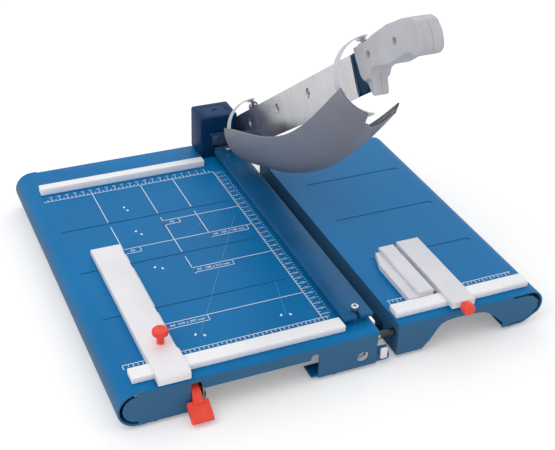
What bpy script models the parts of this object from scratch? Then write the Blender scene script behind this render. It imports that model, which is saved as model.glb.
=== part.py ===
"""Guillotine paper cutter with a swinging blade guard, a paper clamp and a side table.

Lengths are in metres. X runs across the machine with zero at the cutting edge, Y runs back
with zero at the face of the rear fence, and Z is up with zero at the table top. The last step
moves the whole machine so that it stands on the origin.
"""

import math

import bmesh
import bpy
import numpy as np
from mathutils import Matrix, Vector

# Driving dimensions of the machine
CUT_LENGTH = 0.360
SHEET = 0.002
BEND = 0.003
GAP = 0.0003
HOLE_GAP = 0.0003
RUN = 0.0015
OVERRUN = 0.004
DESK_DROP = 0.046
SKIRT_DROP = 0.0415

# Tables, measured from the cutting edge, the rear fence and the table top
TABLE_LEFT = 0.290
ROLL_RADIUS = 0.021
TABLE_FRONT = CUT_LENGTH + 0.030
TABLE_REAR = 0.062
TABLE_EDGE = 0.0033
SKIRT_END = 0.005
SIDE_LEFT = 0.0215
SIDE_RIGHT = 0.2065
SIDE_FRONT = CUT_LENGTH + 0.027
SIDE_REAR = 0.002
GROOVE_SHARE = 0.2472
GROOVE_PITCH = CUT_LENGTH * GROOVE_SHARE
GROOVE_MARGIN = 0.0275
GROOVE_HOOK = 0.0025
GROOVE_WIDTH = 0.0022
GROOVE_DEPTH = 0.0008
LIP = 0.020

# Fences
FENCE_LEFT = 0.270
REAR_FENCE_END = 0.056
REAR_FENCE_DEPTH = 0.012
REAR_FENCE_UP = 0.0095
FRONT_FENCE_END = 0.0375
FRONT_FENCE_DEPTH = 0.017
FRONT_FENCE_UP = 0.008
SIDE_FENCE_END = 0.190
FENCE_ROUND = 0.0008

# Knife, beam and clamp
KNIFE_THICK = 0.003
KNIFE_DROP = 0.020
KNIFE_FRONT = CUT_LENGTH + 0.012
KNIFE_REAR = 0.004
BEAM_LEFT = 0.030
BEAM_DROP = 0.022
BEAM_FRONT = CUT_LENGTH + 0.024
BEAM_REAR = 0.018
CLAMP_LEFT = 0.036
CLAMP_RIGHT = 0.0015
CLAMP_FRONT = CUT_LENGTH + 0.010
CLAMP_REAR = 0.027
CLAMP_UP = 0.006
CLAMP_THICK = 0.005
CLAMP_BOLT_X = 0.019
CLAMP_BOLT_FRONT = CUT_LENGTH - 0.001
CLAMP_BOLT_REAR = 0.010
CLAMP_BOLT_RADIUS = 0.002
SPRING_POCKET = 0.0046
SPRING_FOOT = 0.0125

# Tower and pivot
TOWER_LEFT = 0.053
TOWER_RIGHT = 0.002
TOWER_FRONT = 0.0206
TOWER_REAR = 0.061
TOWER_UP = 0.059
TOWER_WALL = 0.003
PIVOT_Y = 0.042
PIVOT_Z = 0.018
PIVOT_RADIUS = 0.005

# Blade, arm and handle, measured along the arm from the pivot and up from the pivot when closed
OPEN_ANGLE = 35.5
BLADE_START = 0.037
BLADE_END = CUT_LENGTH + 0.037
SPINE_UP = 0.019
BLADE_WIDTH = 0.046
BLADE_THICK = 0.003
BLADE_SIDE = 0.0003
ARM_THICK = 0.005
ARM_DROP = 0.023
HANDLE_START = BLADE_END + 0.022
HANDLE_LENGTH = 0.136
HANDLE_HALF = 0.012
HANDLE_TOP = 0.027
HANDLE_DEPTH = 0.0575
TANG_SHARE = 0.83
TANG_END = HANDLE_START + TANG_SHARE * HANDLE_LENGTH
TANG_LOW = 0.001
TANG_HIGH = 0.0165
ARM_X = BLADE_SIDE + BLADE_THICK + GAP
HANDLE_X = ARM_X + ARM_THICK / 2

# Guard, measured in the same way, with its hinge line beside the spine
GUARD_HINGE_X = 0.012
GUARD_HINGE_UP = SPINE_UP + 0.006
GUARD_CENTRE_X = 0.007
GUARD_CENTRE_DOWN = 0.008
HOOP_RADIUS = 0.040
HOOP_THICK = 0.0015
HOOP_WIDE = 0.011
REAR_HOOP = 0.0795
FRONT_HOOP = HANDLE_START + 0.0045
EYE_SHIFT = 0.0135
SHIELD_START = REAR_HOOP - 0.0115
SHIELD_END = FRONT_HOOP + 0.0075
SHIELD_THICK = 0.0018
SHIELD_BULGE = 0.026
SHIELD_SAG = 0.006
SHIELD_SPREAD = 0.0016

# Gauges and lever
ARM_GAUGE_X = 0.231
ARM_GAUGE_WIDE = 0.034
ARM_GAUGE_LENGTH = 0.215
ARM_GAUGE_REAR = CUT_LENGTH - ARM_GAUGE_LENGTH
STRIP_X = 0.099
STRIP_WIDE = 0.0285
STRIP_LENGTH = 0.100
STRIP_REAR = CUT_LENGTH - STRIP_LENGTH
STOP_LENGTH = 0.092
STOP_LEFT = 0.048
STOP_STEP = 0.012
STRIP_UP = 0.0124
LEVER_X = 0.2085
LEVER_PIVOT_Y = TABLE_FRONT - 0.018
LEVER_PIVOT_Z = 0.014
STEM_SETBACK = 0.012
STEM_Y = LEVER_PIVOT_Y - STEM_SETBACK

BLUE = (0.035, 0.150, 0.330)
DARK_BLUE = (0.018, 0.085, 0.190)
LIGHT_GREY = (0.72, 0.70, 0.72)
MID_GREY = (0.24, 0.24, 0.27)
HANDLE_GREY = (0.42, 0.42, 0.45)
STEEL = (0.60, 0.60, 0.61)
BLACK = (0.02, 0.02, 0.02)
RED = (0.72, 0.07, 0.04)

for old in list(bpy.data.objects):
    bpy.data.objects.remove(old)

PARTS = bpy.data.collections.new("guillotine_cutter")
CUTTERS = bpy.data.collections.new("cutters")
bpy.context.scene.collection.children.link(PARTS)
bpy.context.scene.collection.children.link(CUTTERS)

AXES = {"X": Vector((1, 0, 0)), "Y": Vector((0, 1, 0)), "Z": Vector((0, 0, 1)), "-Y": Vector((0, -1, 0))}
PLANES = {
    "XY": Matrix.Identity(4),
    "XZ": Matrix(((1, 0, 0, 0), (0, 0, -1, 0), (0, 1, 0, 0), (0, 0, 0, 1))),
    "YZ": Matrix(((0, 0, 1, 0), (1, 0, 0, 0), (0, 1, 0, 0), (0, 0, 0, 1))),
}


def new_object(name, mesh, parent=None, at=(0, 0, 0), turn=(0, 0, 0)):
    """Add a mesh to the machine under its parent, at a place in the parent's frame."""
    obj = bpy.data.objects.new(name, mesh)
    PARTS.objects.link(obj)
    obj.parent = parent
    obj.location = at
    obj.rotation_euler = turn
    return obj


def empty(name, parent, at, turn=(0, 0, 0)):
    """Add an empty whose origin lies on a joint's axis."""
    return new_object(name, None, parent, at, turn)


def paint(obj, colour, roughness, metallic=0.0):
    """Give an object its own Principled material and shade its round faces smooth."""
    skin = bpy.data.materials.new(obj.name)
    skin.use_nodes = True
    shader = skin.node_tree.nodes["Principled BSDF"]
    shader.inputs["Base Color"].default_value = (*colour, 1)
    shader.inputs["Roughness"].default_value = roughness
    shader.inputs["Metallic"].default_value = metallic
    obj.data.materials.clear()
    obj.data.materials.append(skin)
    obj.data.shade_smooth()
    obj.data.set_sharp_from_angle(angle=math.radians(35))
    return obj


def evaluated(obj):
    """Return a mesh with the object's modifiers applied and its seams welded."""
    bpy.context.view_layer.update()
    depsgraph = bpy.context.evaluated_depsgraph_get()
    mesh = bpy.data.meshes.new_from_object(obj.evaluated_get(depsgraph))
    bm = bmesh.new()
    bm.from_mesh(mesh)
    bmesh.ops.remove_doubles(bm, verts=bm.verts, dist=0.000001)
    bm.to_mesh(mesh)
    bm.free()
    return mesh


def block_mesh(x, y, z):
    """A box mesh between three pairs of limits."""
    bm = bmesh.new()
    lo = Vector((x[0], y[0], z[0]))
    hi = Vector((x[1], y[1], z[1]))
    size = Matrix.Diagonal((*(hi - lo), 1))
    bmesh.ops.create_cube(bm, size=1, matrix=Matrix.Translation((lo + hi) / 2) @ size)
    return finish_mesh(bm)


def finish_mesh(bm):
    """Turn the faces outward and hand over the mesh."""
    bmesh.ops.recalc_face_normals(bm, faces=bm.faces)
    mesh = bpy.data.meshes.new("shape")
    bm.to_mesh(mesh)
    bm.free()
    return mesh


def rod_mesh(radius, start, end, sides=20, end_radius=None):
    """A cylinder or cone between two points."""
    start = Vector(start)
    end = Vector(end)
    turn = AXES["Z"].rotation_difference(end - start).to_matrix().to_4x4()
    bm = bmesh.new()
    bmesh.ops.create_cone(
        bm,
        cap_ends=True,
        segments=sides,
        radius1=radius,
        radius2=radius if end_radius is None else end_radius,
        depth=(end - start).length,
        matrix=Matrix.Translation((start + end) / 2) @ turn,
    )
    return finish_mesh(bm)


def outline_mesh(points, plane, low, high):
    """A filled 2D curve through the points, thick from low to high across its plane."""
    curve = bpy.data.curves.new("outline", "CURVE")
    curve.dimensions = "2D"
    curve.fill_mode = "BOTH"
    curve.extrude = (high - low) / 2
    spline = curve.splines.new("POLY")
    spline.points.add(len(points) - 1)
    for point, (u, v) in zip(spline.points, points):
        point.co = (u, v, 0, 1)
    spline.use_cyclic_u = True
    holder = bpy.data.objects.new("outline", curve)
    PARTS.objects.link(holder)
    mesh = evaluated(holder)
    bpy.data.objects.remove(holder)
    middle = (low + high) / 2
    across = -middle if plane == "XZ" else middle
    mesh.transform(PLANES[plane] @ Matrix.Translation((0, 0, across)))
    bm = bmesh.new()
    bm.from_mesh(mesh)
    return finish_mesh(bm)


def joined(meshes):
    """Put separate closed shells into one mesh."""
    bm = bmesh.new()
    for mesh in meshes:
        bm.from_mesh(mesh)
    return finish_mesh(bm)


def cutter(mesh, parent=None):
    """Hold a mesh as a hidden cutting shape."""
    obj = bpy.data.objects.new("cutter", mesh)
    CUTTERS.objects.link(obj)
    obj.parent = parent
    obj.hide_render = True
    obj.display_type = "WIRE"
    return obj


def combine(obj, meshes, operation):
    """Add one exact Boolean of the meshes to an object."""
    boolean = obj.modifiers.new(operation.lower(), "BOOLEAN")
    boolean.operation = operation
    boolean.object = cutter(joined(meshes), obj.parent)
    boolean.object.location = obj.location
    boolean.object.rotation_euler = obj.rotation_euler
    return obj


def cut(obj, *meshes):
    """Cut the meshes out of an object."""
    return combine(obj, meshes, "DIFFERENCE")


def weld(obj, *meshes):
    """Join the meshes onto an object."""
    return combine(obj, meshes, "UNION")


def soften(obj, width, segments=2, angle=40):
    """Round the sharp edges of an object."""
    bevel = obj.modifiers.new("bevel", "BEVEL")
    bevel.width = width
    bevel.segments = segments
    bevel.limit_method = "ANGLE"
    bevel.angle_limit = math.radians(angle)
    return obj


def arc(centre, radius, start, end, steps):
    """Points along an arc, with its angles in degrees."""
    angles = np.radians(np.linspace(start, end, steps + 1))
    return [(centre[0] + radius * math.cos(a), centre[1] + radius * math.sin(a)) for a in angles]


def strip(path, thick):
    """The outline of a strip with the path on its left side and the given thickness."""
    line = np.array(path)
    step = np.diff(line, axis=0)
    step /= np.linalg.norm(step, axis=1)[:, None]
    side = np.column_stack([step[:, 1], -step[:, 0]])
    corner = np.vstack([side[:1], side[:-1] + side[1:], side[-1:]])
    corner /= np.linalg.norm(corner, axis=1)[:, None]
    stretch = np.ones(len(line))
    stretch[1:-1] = 1 / np.einsum("ij,ij->i", corner[1:-1], side[1:])
    inner = line + corner * (thick * stretch)[:, None]
    return [tuple(p) for p in line] + [tuple(p) for p in inner[::-1]]


def turned_mesh(profile, at, axis="Z", steps=20):
    """A profile of (radius, height) pairs, top to bottom on its outer side, turned about an axis."""
    bm = bmesh.new()
    verts = [bm.verts.new((r, 0, h)) for r, h in profile]
    for first, second in zip(verts, verts[1:]):
        bm.edges.new((first, second))
    mesh = bpy.data.meshes.new("profile")
    bm.to_mesh(mesh)
    bm.free()
    holder = bpy.data.objects.new("profile", mesh)
    PARTS.objects.link(holder)
    screw = holder.modifiers.new("turn", "SCREW")
    screw.steps = steps
    screw.render_steps = steps
    screw.use_merge_vertices = True
    screw.merge_threshold = 0.00001
    result = evaluated(holder)
    bpy.data.objects.remove(holder)
    turn = AXES["Z"].rotation_difference(AXES[axis]).to_matrix().to_4x4()
    result.transform(Matrix.Translation(at) @ turn)
    return result


def bolt_mesh(head_radius, head, radius, length, at, way, sides=12, head_sides=None):
    """A bolt as one turned body: its head stands at the place and its shank runs along the way."""
    way = Vector(way)
    profile = [(0, 0), (radius, 0), (radius, length), (head_radius, length), (head_radius, length + head)]
    profile.append((0, length + head))
    steps = head_sides or sides
    body = turned_mesh(profile[::-1], (0, 0, 0), "Z", steps)
    flip = Matrix.Rotation(math.pi, 4, "X")
    drop = Matrix.Translation((0, 0, length))
    turn = AXES["Z"].rotation_difference(way).to_matrix().to_4x4()
    body.transform(Matrix.Translation(at) @ turn @ drop @ flip)
    return body


def copies(mesh, parent, places, colour, roughness, metallic=0.0):
    """Place like pieces that share one mesh, each under its own name."""
    for name, at in places.items():
        paint(new_object(name, mesh, parent, at), colour, roughness, metallic)


MACHINE = empty("machine", None, (0, 0, 0))


def channel(front, rear, drop):
    """The Y-Z outline of a sheet bent down along its front and rear edges."""
    path = [(-front, -drop)]
    path += arc((-front + BEND, -BEND), BEND, 180, 90, 3)
    path += arc((rear - BEND, -BEND), BEND, 90, 0, 3)
    path += [(rear, -drop)]
    return strip(path, SHEET)


def grooves(left, right, hook=0.0):
    """Cutters for the pressed grooves that run across a table."""
    shapes = []
    for row in range(1, 4):
        y = -row * GROOVE_PITCH
        half = GROOVE_WIDTH / 2
        path = [(left, y + half), (right, y + half)]
        if hook:
            path.append((right + hook, y + half - 2 * hook))
        shapes.append(outline_mesh(strip(path, GROOVE_WIDTH), "XY", -GROOVE_DEPTH, OVERRUN))
    return shapes


FOOT_INSET = 0.011
MAIN_FEET = {
    "foot_front_left": (-0.250, -TABLE_FRONT + FOOT_INSET),
    "foot_front_right": (-0.052, -TABLE_FRONT + FOOT_INSET),
    "foot_rear_left": (-0.250, TABLE_REAR - FOOT_INSET),
    "foot_rear_right": (-0.052, TABLE_REAR - FOOT_INSET),
}
SIDE_FEET = {
    "side_foot_front": (0.170, -SIDE_FRONT + FOOT_INSET),
    "side_foot_rear": (0.170, -SIDE_REAR - FOOT_INSET),
}
FOOT_NECK = 0.0026
BEAM_HOLE_X = 0.021
BEAM_HOLE_Z = 0.0288
BEAM_HOLE_RADIUS = 0.0068


def main_table():
    """Folded sheet with skirts at the front and rear and a rolled left side."""
    flat_left = TABLE_LEFT - ROLL_RADIUS
    roof = outline_mesh(channel(TABLE_FRONT, TABLE_REAR, SKIRT_DROP), "YZ", -flat_left, -TABLE_EDGE)
    obj = new_object("main_table", roof, MACHINE)
    overlap = 0.007
    lip = 0.008
    centre = (-flat_left, -ROLL_RADIUS)
    path = [(-flat_left + lip, -2 * ROLL_RADIUS)]
    path += arc(centre, ROLL_RADIUS, 270, 90, 12)
    path += [(-flat_left + overlap, 0)]
    roll = outline_mesh(strip(path, SHEET), "XZ", -TABLE_FRONT, TABLE_REAR)
    weld(obj, roll)
    end = ROLL_RADIUS - SHEET - 0.0035
    top = 0.0045
    cheek = [(-flat_left + overlap, -top)] + arc(centre, end, 90, 270, 8)
    cheek += [(-flat_left + overlap, -ROLL_RADIUS - end)]
    cheek = [(x, min(z, -top)) for x, z in cheek]
    front = outline_mesh(cheek, "XZ", -TABLE_FRONT, -TABLE_FRONT + SHEET)
    rear = outline_mesh(cheek, "XZ", TABLE_REAR - SHEET, TABLE_REAR)
    pads = [front, rear]
    for x, y in MAIN_FEET.values():
        left = max(x - 0.028, -flat_left + 0.001)
        right = min(x + 0.028, -0.034)
        inward = LIP if y < 0 else -LIP
        edge = -TABLE_FRONT + SHEET / 2 if y < 0 else TABLE_REAR - SHEET / 2
        limits = sorted((edge, edge + inward))
        pads.append(block_mesh((left, right), limits, (-SKIRT_DROP, -SKIRT_DROP + SHEET)))
    weld(obj, *pads)
    lever_left = 0.2145
    lever_right = 0.2035
    lever_top = 0.006
    shallow = 0.0155
    slot_left = 0.0825
    slot_right = 0.073
    slot_round = (slot_left - slot_right) / 2
    below = SKIRT_DROP + OVERRUN
    window = [(-lever_left, -below), (-lever_left, -lever_top - 0.002), (-lever_left + 0.002, -lever_top)]
    window += [(-lever_right, -lever_top), (-lever_right + 0.003, -shallow), (-slot_left, -shallow)]
    window += arc((-slot_left + slot_round, -shallow + 0.002), slot_round, 180, 0, 6)
    window += [(-slot_right, -below)]
    through = (-TABLE_FRONT - OVERRUN, -TABLE_FRONT + SHEET + 0.0005)
    holes = [outline_mesh(window, "XZ", *through)]
    holes.append(rod_mesh(BEAM_HOLE_RADIUS, (-BEAM_HOLE_X, through[0], -BEAM_HOLE_Z),
                          (-BEAM_HOLE_X, through[1], -BEAM_HOLE_Z)))
    corner = (-SKIRT_END, 0)
    for edge in ((-TABLE_FRONT - OVERRUN, -TABLE_FRONT + SHEET + RUN),
                 (TABLE_REAR - SHEET - RUN, TABLE_REAR + OVERRUN)):
        holes.append(block_mesh(corner, edge, (-below, -BEND - SHEET)))
    for y in (-CLAMP_BOLT_FRONT, CLAMP_BOLT_REAR):
        holes.append(hole_down(-CLAMP_BOLT_X, y, SPRING_POCKET, SHEET, 20))
    for x, y in MAIN_FEET.values():
        holes.append(rod_mesh(FOOT_NECK + HOLE_GAP, (x, y, -below), (x, y, -SKIRT_DROP + SHEET + OVERRUN),
                              12))
    cut(obj, *holes, *grooves(-flat_left + 0.001, -REAR_FENCE_END))
    paint(obj, BLUE, 0.45)


def hole_down(x, y, radius, depth, sides=12):
    """A cutter for a round hole through a table top."""
    return rod_mesh(radius, (x, y, -depth - OVERRUN), (x, y, OVERRUN), sides)


def side_table():
    """Folded sheet with an arched front skirt, a left flange and a rolled right nose."""
    flat_right = 0.166
    roof = outline_mesh(channel(SIDE_FRONT, -SIDE_REAR, SKIRT_DROP), "YZ", SIDE_LEFT, flat_right)
    obj = new_object("side_table", roof, MACHINE)
    nose_radius = 0.0185
    nose = (SIDE_RIGHT - nose_radius, -nose_radius)
    path = [(flat_right - 0.006, 0)]
    path += arc(nose, nose_radius, 90, -38, 9)
    path += [(0.186, -SKIRT_DROP + 0.0015), (0.182, -SKIRT_DROP), (0.158, -SKIRT_DROP)]
    weld(obj, outline_mesh(strip(path, SHEET), "XZ", -SIDE_FRONT, -SIDE_REAR))
    top = 0.0045
    cheek = [(flat_right - 0.006, -top), (0.184, -top), (0.193, -0.007), (0.2005, -0.0145), (0.2005, -0.024)]
    cheek += [(0.1935, -0.0325), (0.183, -0.0380), (flat_right - 0.006, -0.0385)]
    flange = block_mesh((SIDE_LEFT, SIDE_LEFT + SHEET), (-SIDE_FRONT + SHEET / 2, -SIDE_REAR - SHEET / 2),
                        (-SKIRT_DROP, -SHEET / 2))
    pads = [outline_mesh(cheek, "XZ", -SIDE_FRONT, -SIDE_FRONT + SHEET),
            outline_mesh(cheek, "XZ", -SIDE_REAR - SHEET, -SIDE_REAR)]
    weld(obj, flange, *pads)
    below = SKIRT_DROP + OVERRUN
    arch = [(0.0485, -below), (0.055, -0.0395), (0.0628, -0.031), (0.0705, -0.019), (0.0745, -0.0140)]
    arch += [(0.081, -0.0108), (0.093, -0.0095), (0.121, -0.0105), (0.130, -0.0125), (0.137, -0.0165)]
    arch += [(0.146, -0.0240), (0.157, -0.0350), (0.157, -below)]
    through = (-SIDE_FRONT - OVERRUN, -SIDE_FRONT + SHEET + 0.0005)
    holes = [outline_mesh(arch, "XZ", *through)]
    for x, y in SIDE_FEET.values():
        holes.append(rod_mesh(FOOT_NECK + HOLE_GAP, (x, y, -below), (x, y, -SKIRT_DROP + SHEET + OVERRUN),
                              12))
    holes.append(rod_mesh(LINK_RADIUS + HOLE_GAP, (SIDE_LEFT - OVERRUN, -LINK_Y, -LINK_Z),
                          (SIDE_LEFT + SHEET + OVERRUN, -LINK_Y, -LINK_Z), 16))
    cut(obj, *holes, *grooves(SIDE_LEFT + GROOVE_MARGIN, SIDE_RIGHT - GROOVE_MARGIN, GROOVE_HOOK))
    paint(obj, BLUE, 0.45)


TRAY_DROP = 0.033
TRAY_FRONT = CUT_LENGTH - 0.008
TRAY_LAP = 0.0187
TRAY_REAR = 0.008
LINK_RADIUS = 0.0025
LINK_Y = KNIFE_FRONT + 0.0055
LINK_Z = 0.0150


def fence(name, left, right, front, rear, up):
    """An extruded fence bar that lies on a table."""
    obj = new_object(name, block_mesh((left, right), (front, rear), (GAP, up)), MACHINE)
    soften(obj, FENCE_ROUND)
    paint(obj, LIGHT_GREY, 0.5)


def fences():
    """The three paper stops."""
    front = -CUT_LENGTH - FRONT_FENCE_DEPTH
    fence("rear_fence", -FENCE_LEFT, -REAR_FENCE_END, 0, REAR_FENCE_DEPTH, REAR_FENCE_UP)
    fence("front_fence", -FENCE_LEFT, -FRONT_FENCE_END, front, -CUT_LENGTH, FRONT_FENCE_UP)
    fence("side_fence", SIDE_LEFT + RUN, SIDE_FENCE_END, front, -CUT_LENGTH, FRONT_FENCE_UP)


def tower():
    """The housing over the pivot, its inlaid cap, and the block that holds the pivot bolt."""
    outer = block_mesh((-TOWER_LEFT, -TOWER_RIGHT), (TOWER_FRONT, TOWER_REAR), (GAP, TOWER_UP))
    obj = new_object("tower_housing", outer, MACHINE)
    soften(obj, 0.003)
    inner_x = (-TOWER_LEFT + TOWER_WALL, -TOWER_RIGHT - TOWER_WALL)
    inner_y = (TOWER_FRONT + TOWER_WALL, TOWER_REAR - TOWER_WALL)
    roof = TOWER_UP - 2 * TOWER_WALL
    cavity = block_mesh(inner_x, inner_y, (-OVERRUN, roof))
    cut(obj, cavity)
    window_x = (-0.0375, -TOWER_RIGHT - TOWER_WALL)
    window = block_mesh(window_x, (TOWER_FRONT - OVERRUN, inner_y[0] + OVERRUN / 4), (GAP + 0.0015, 0.0315))
    cap_x = (-0.043, -0.012)
    cap_y = (0.029, 0.053)
    cap_thick = 0.0015
    cap_round = 0.004
    inlay = rounded(cap_x, cap_y, cap_round)
    bolt_hole = rod_mesh(PIVOT_RADIUS + HOLE_GAP, (inner_x[1] - OVERRUN, PIVOT_Y, PIVOT_Z),
                         (OVERRUN, PIVOT_Y, PIVOT_Z))
    cut(obj, window, outline_mesh(inlay, "XY", TOWER_UP - cap_thick, TOWER_UP + OVERRUN), bolt_hole)
    ledge = block_mesh((-0.041, -0.0165), (TOWER_FRONT - 0.0016, TOWER_FRONT + 0.001), (0.0335, 0.0352))
    weld(obj, ledge)
    paint(obj, BLUE, 0.4)
    inner = rounded((cap_x[0] + GAP, cap_x[1] - GAP), (cap_y[0] + GAP, cap_y[1] - GAP), cap_round - GAP)
    cap = new_object("tower_cap", outline_mesh(inner, "XY", TOWER_UP - cap_thick + GAP, TOWER_UP - GAP),
                     MACHINE)
    slot_x = (-0.0315, -0.0235)
    slot_y = (0.0395, 0.0425)
    cut(cap, block_mesh(slot_x, slot_y, (TOWER_UP - 2 * cap_thick, TOWER_UP + OVERRUN)))
    paint(cap, DARK_BLUE, 0.4)
    block_x = (-TOWER_LEFT + 0.0085, inner_x[1] - GAP)
    block_half = 0.012
    block_y = (PIVOT_Y - block_half, PIVOT_Y + block_half)
    block = new_object("pivot_block", block_mesh(block_x, block_y, (GAP, 0.034)), MACHINE)
    soften(block, 0.001, 1)
    through = rod_mesh(PIVOT_RADIUS + HOLE_GAP, (block_x[0] - OVERRUN, PIVOT_Y, PIVOT_Z),
                       (block_x[1] + OVERRUN, PIVOT_Y, PIVOT_Z))
    cut(block, through)
    paint(block, STEEL, 0.45, 1.0)
    head = 0.004
    reach = ARM_X + ARM_THICK + 0.010
    start = block_x[0] - GAP
    bolt = bolt_mesh(0.0075, head, PIVOT_RADIUS, reach - start, (start, PIVOT_Y, PIVOT_Z), (1, 0, 0), 20)
    paint(new_object("pivot_bolt", bolt, MACHINE), STEEL, 0.25, 1.0)
    ring("pivot_bush", 0.009, -TOWER_RIGHT + GAP, ARM_X - GAP, 20)
    washer = ARM_X + ARM_THICK + GAP
    washer_end = washer + 0.0016
    ring("pivot_washer", 0.009, washer, washer_end, 20)
    ring("pivot_nut", 0.0078, washer_end + GAP, washer_end + 0.0065, 6)


def rounded(x, y, radius, steps=3):
    """The outline of a rectangle with round corners."""
    corners = [((x[1] - radius, y[1] - radius), 0), ((x[0] + radius, y[1] - radius), 90),
               ((x[0] + radius, y[0] + radius), 180), ((x[1] - radius, y[0] + radius), 270)]
    points = []
    for centre, start in corners:
        points += arc(centre, radius, start, start + 90, steps)
    return points


def ring(name, radius, low, high, sides):
    """A ring around the pivot bolt."""
    obj = new_object(name, rod_mesh(radius, (low, PIVOT_Y, PIVOT_Z), (high, PIVOT_Y, PIVOT_Z), sides),
                     MACHINE)
    bore = rod_mesh(PIVOT_RADIUS + HOLE_GAP, (low - OVERRUN, PIVOT_Y, PIVOT_Z),
                    (high + OVERRUN, PIVOT_Y, PIVOT_Z))
    cut(obj, bore)
    paint(obj, STEEL, 0.3, 1.0)


def knife():
    """The beam under the table edge, the lower knife that it carries, and their screws."""
    lug_x = (-BEAM_LEFT, -0.0140)
    lug_drop = 0.0345
    lug_y = (-BEAM_FRONT + 0.002, -BEAM_FRONT + 0.011)
    beam = new_object("knife_beam", block_mesh((-BEAM_LEFT, -TABLE_EDGE), (-BEAM_FRONT, BEAM_REAR),
                                               (-BEAM_DROP, -SHEET - GAP)), MACHINE)
    weld(beam, block_mesh(lug_x, lug_y, (-lug_drop, -BEAM_DROP + 0.001)))
    bolt_at = (-BEAM_HOLE_X - 0.001, -BEAM_HOLE_Z + 0.001)
    bolt_radius = 0.003
    holes = [rod_mesh(bolt_radius + HOLE_GAP, (bolt_at[0], lug_y[0] - OVERRUN, bolt_at[1]),
                      (bolt_at[0], lug_y[1] + OVERRUN, bolt_at[1]), 16)]
    holes.append(rod_mesh(LINK_RADIUS + HOLE_GAP, (-0.014, -LINK_Y, -LINK_Z), (OVERRUN, -LINK_Y, -LINK_Z),
                          16))
    pockets = []
    for y in (-CLAMP_BOLT_FRONT, CLAMP_BOLT_REAR):
        pockets.append(rod_mesh(SPRING_POCKET, (-CLAMP_BOLT_X, y, -SPRING_FOOT), (-CLAMP_BOLT_X, y, OVERRUN)))
        holes.append(rod_mesh(CLAMP_BOLT_RADIUS + HOLE_GAP, (-CLAMP_BOLT_X, y, -BEAM_DROP - OVERRUN),
                              (-CLAMP_BOLT_X, y, OVERRUN), 16))
    cut(beam, *pockets)
    cut(beam, *holes)
    paint(beam, DARK_BLUE, 0.5)
    blade = new_object("lower_knife", block_mesh((-KNIFE_THICK, 0), (-KNIFE_FRONT, KNIFE_REAR),
                                                 (-KNIFE_DROP, 0)),
                       MACHINE)
    paint(blade, STEEL, 0.25, 1.0)
    head = 0.003
    front = lug_y[0] - GAP
    stub = bolt_mesh(0.0052, head, bolt_radius, 0.016, (bolt_at[0], front, bolt_at[1]), (0, 1, 0), 12)
    paint(new_object("beam_bolt", stub, MACHINE), STEEL, 0.25, 1.0)


def spring_mesh(low, high, radius, wire, turns):
    """A coil of round wire as one unbroken tube."""
    per_turn = 12
    count = turns * per_turn
    curve = bpy.data.curves.new("coil", "CURVE")
    curve.dimensions = "3D"
    curve.bevel_depth = wire
    curve.bevel_resolution = 1
    curve.use_fill_caps = True
    spline = curve.splines.new("POLY")
    spline.points.add(count)
    for index, point in enumerate(spline.points):
        angle = 2 * math.pi * index / per_turn
        rise = low + wire + (high - low - 2 * wire) * index / count
        point.co = (radius * math.cos(angle), radius * math.sin(angle), rise, 1)
    holder = bpy.data.objects.new("coil", curve)
    PARTS.objects.link(holder)
    mesh = evaluated(holder)
    bpy.data.objects.remove(holder)
    return mesh


def clamp():
    """The bar that holds the paper, the bolts that guide it, and the springs that lift it."""
    axis = empty("clamp_travel", MACHINE, (0, 0, 0))
    bar = new_object("clamp_bar", block_mesh((-CLAMP_LEFT, -CLAMP_RIGHT), (-CLAMP_FRONT, TOWER_FRONT - RUN),
                                             (CLAMP_UP, CLAMP_UP + CLAMP_THICK)), axis)
    tongue_x = (-0.033, -TOWER_RIGHT - TOWER_WALL - RUN)
    weld(bar, block_mesh(tongue_x, (TOWER_FRONT - 2 * RUN, CLAMP_REAR), (CLAMP_UP, CLAMP_UP + CLAMP_THICK)))
    soften(bar, 0.0012)
    slot = CLAMP_BOLT_RADIUS + 2 * HOLE_GAP
    over = (CLAMP_UP - OVERRUN, CLAMP_UP + CLAMP_THICK + OVERRUN)
    mouth = -CLAMP_FRONT - OVERRUN
    outline = [(-CLAMP_BOLT_X + slot, mouth)]
    outline += arc((-CLAMP_BOLT_X, -CLAMP_BOLT_FRONT), slot, 0, 180, 8)
    outline += [(-CLAMP_BOLT_X - slot, mouth)]
    rear = rod_mesh(slot, (-CLAMP_BOLT_X, CLAMP_BOLT_REAR, over[0]),
                    (-CLAMP_BOLT_X, CLAMP_BOLT_REAR, over[1]), 16)
    cut(bar, outline_mesh(outline, "XY", *over), rear)
    paint(bar, BLUE, 0.4)
    head = 0.0045
    head_low = CLAMP_UP + CLAMP_THICK + RUN
    tip = BEAM_DROP - 0.002
    bolt = bolt_mesh(0.0042, head, CLAMP_BOLT_RADIUS, head_low + tip, (0, 0, head_low), (0, 0, -1), 16)
    coil = spring_mesh(-SPRING_FOOT + GAP, CLAMP_UP - GAP, 0.0033, 0.0005, 5)
    front = (-CLAMP_BOLT_X, -CLAMP_BOLT_FRONT, 0)
    rear = (-CLAMP_BOLT_X, CLAMP_BOLT_REAR, 0)
    copies(bolt, MACHINE, {"clamp_bolt_front": front, "clamp_bolt_rear": rear}, STEEL, 0.2, 1.0)
    copies(coil, MACHINE, {"clamp_spring_front": front, "clamp_spring_rear": rear}, STEEL, 0.3, 1.0)


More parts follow.
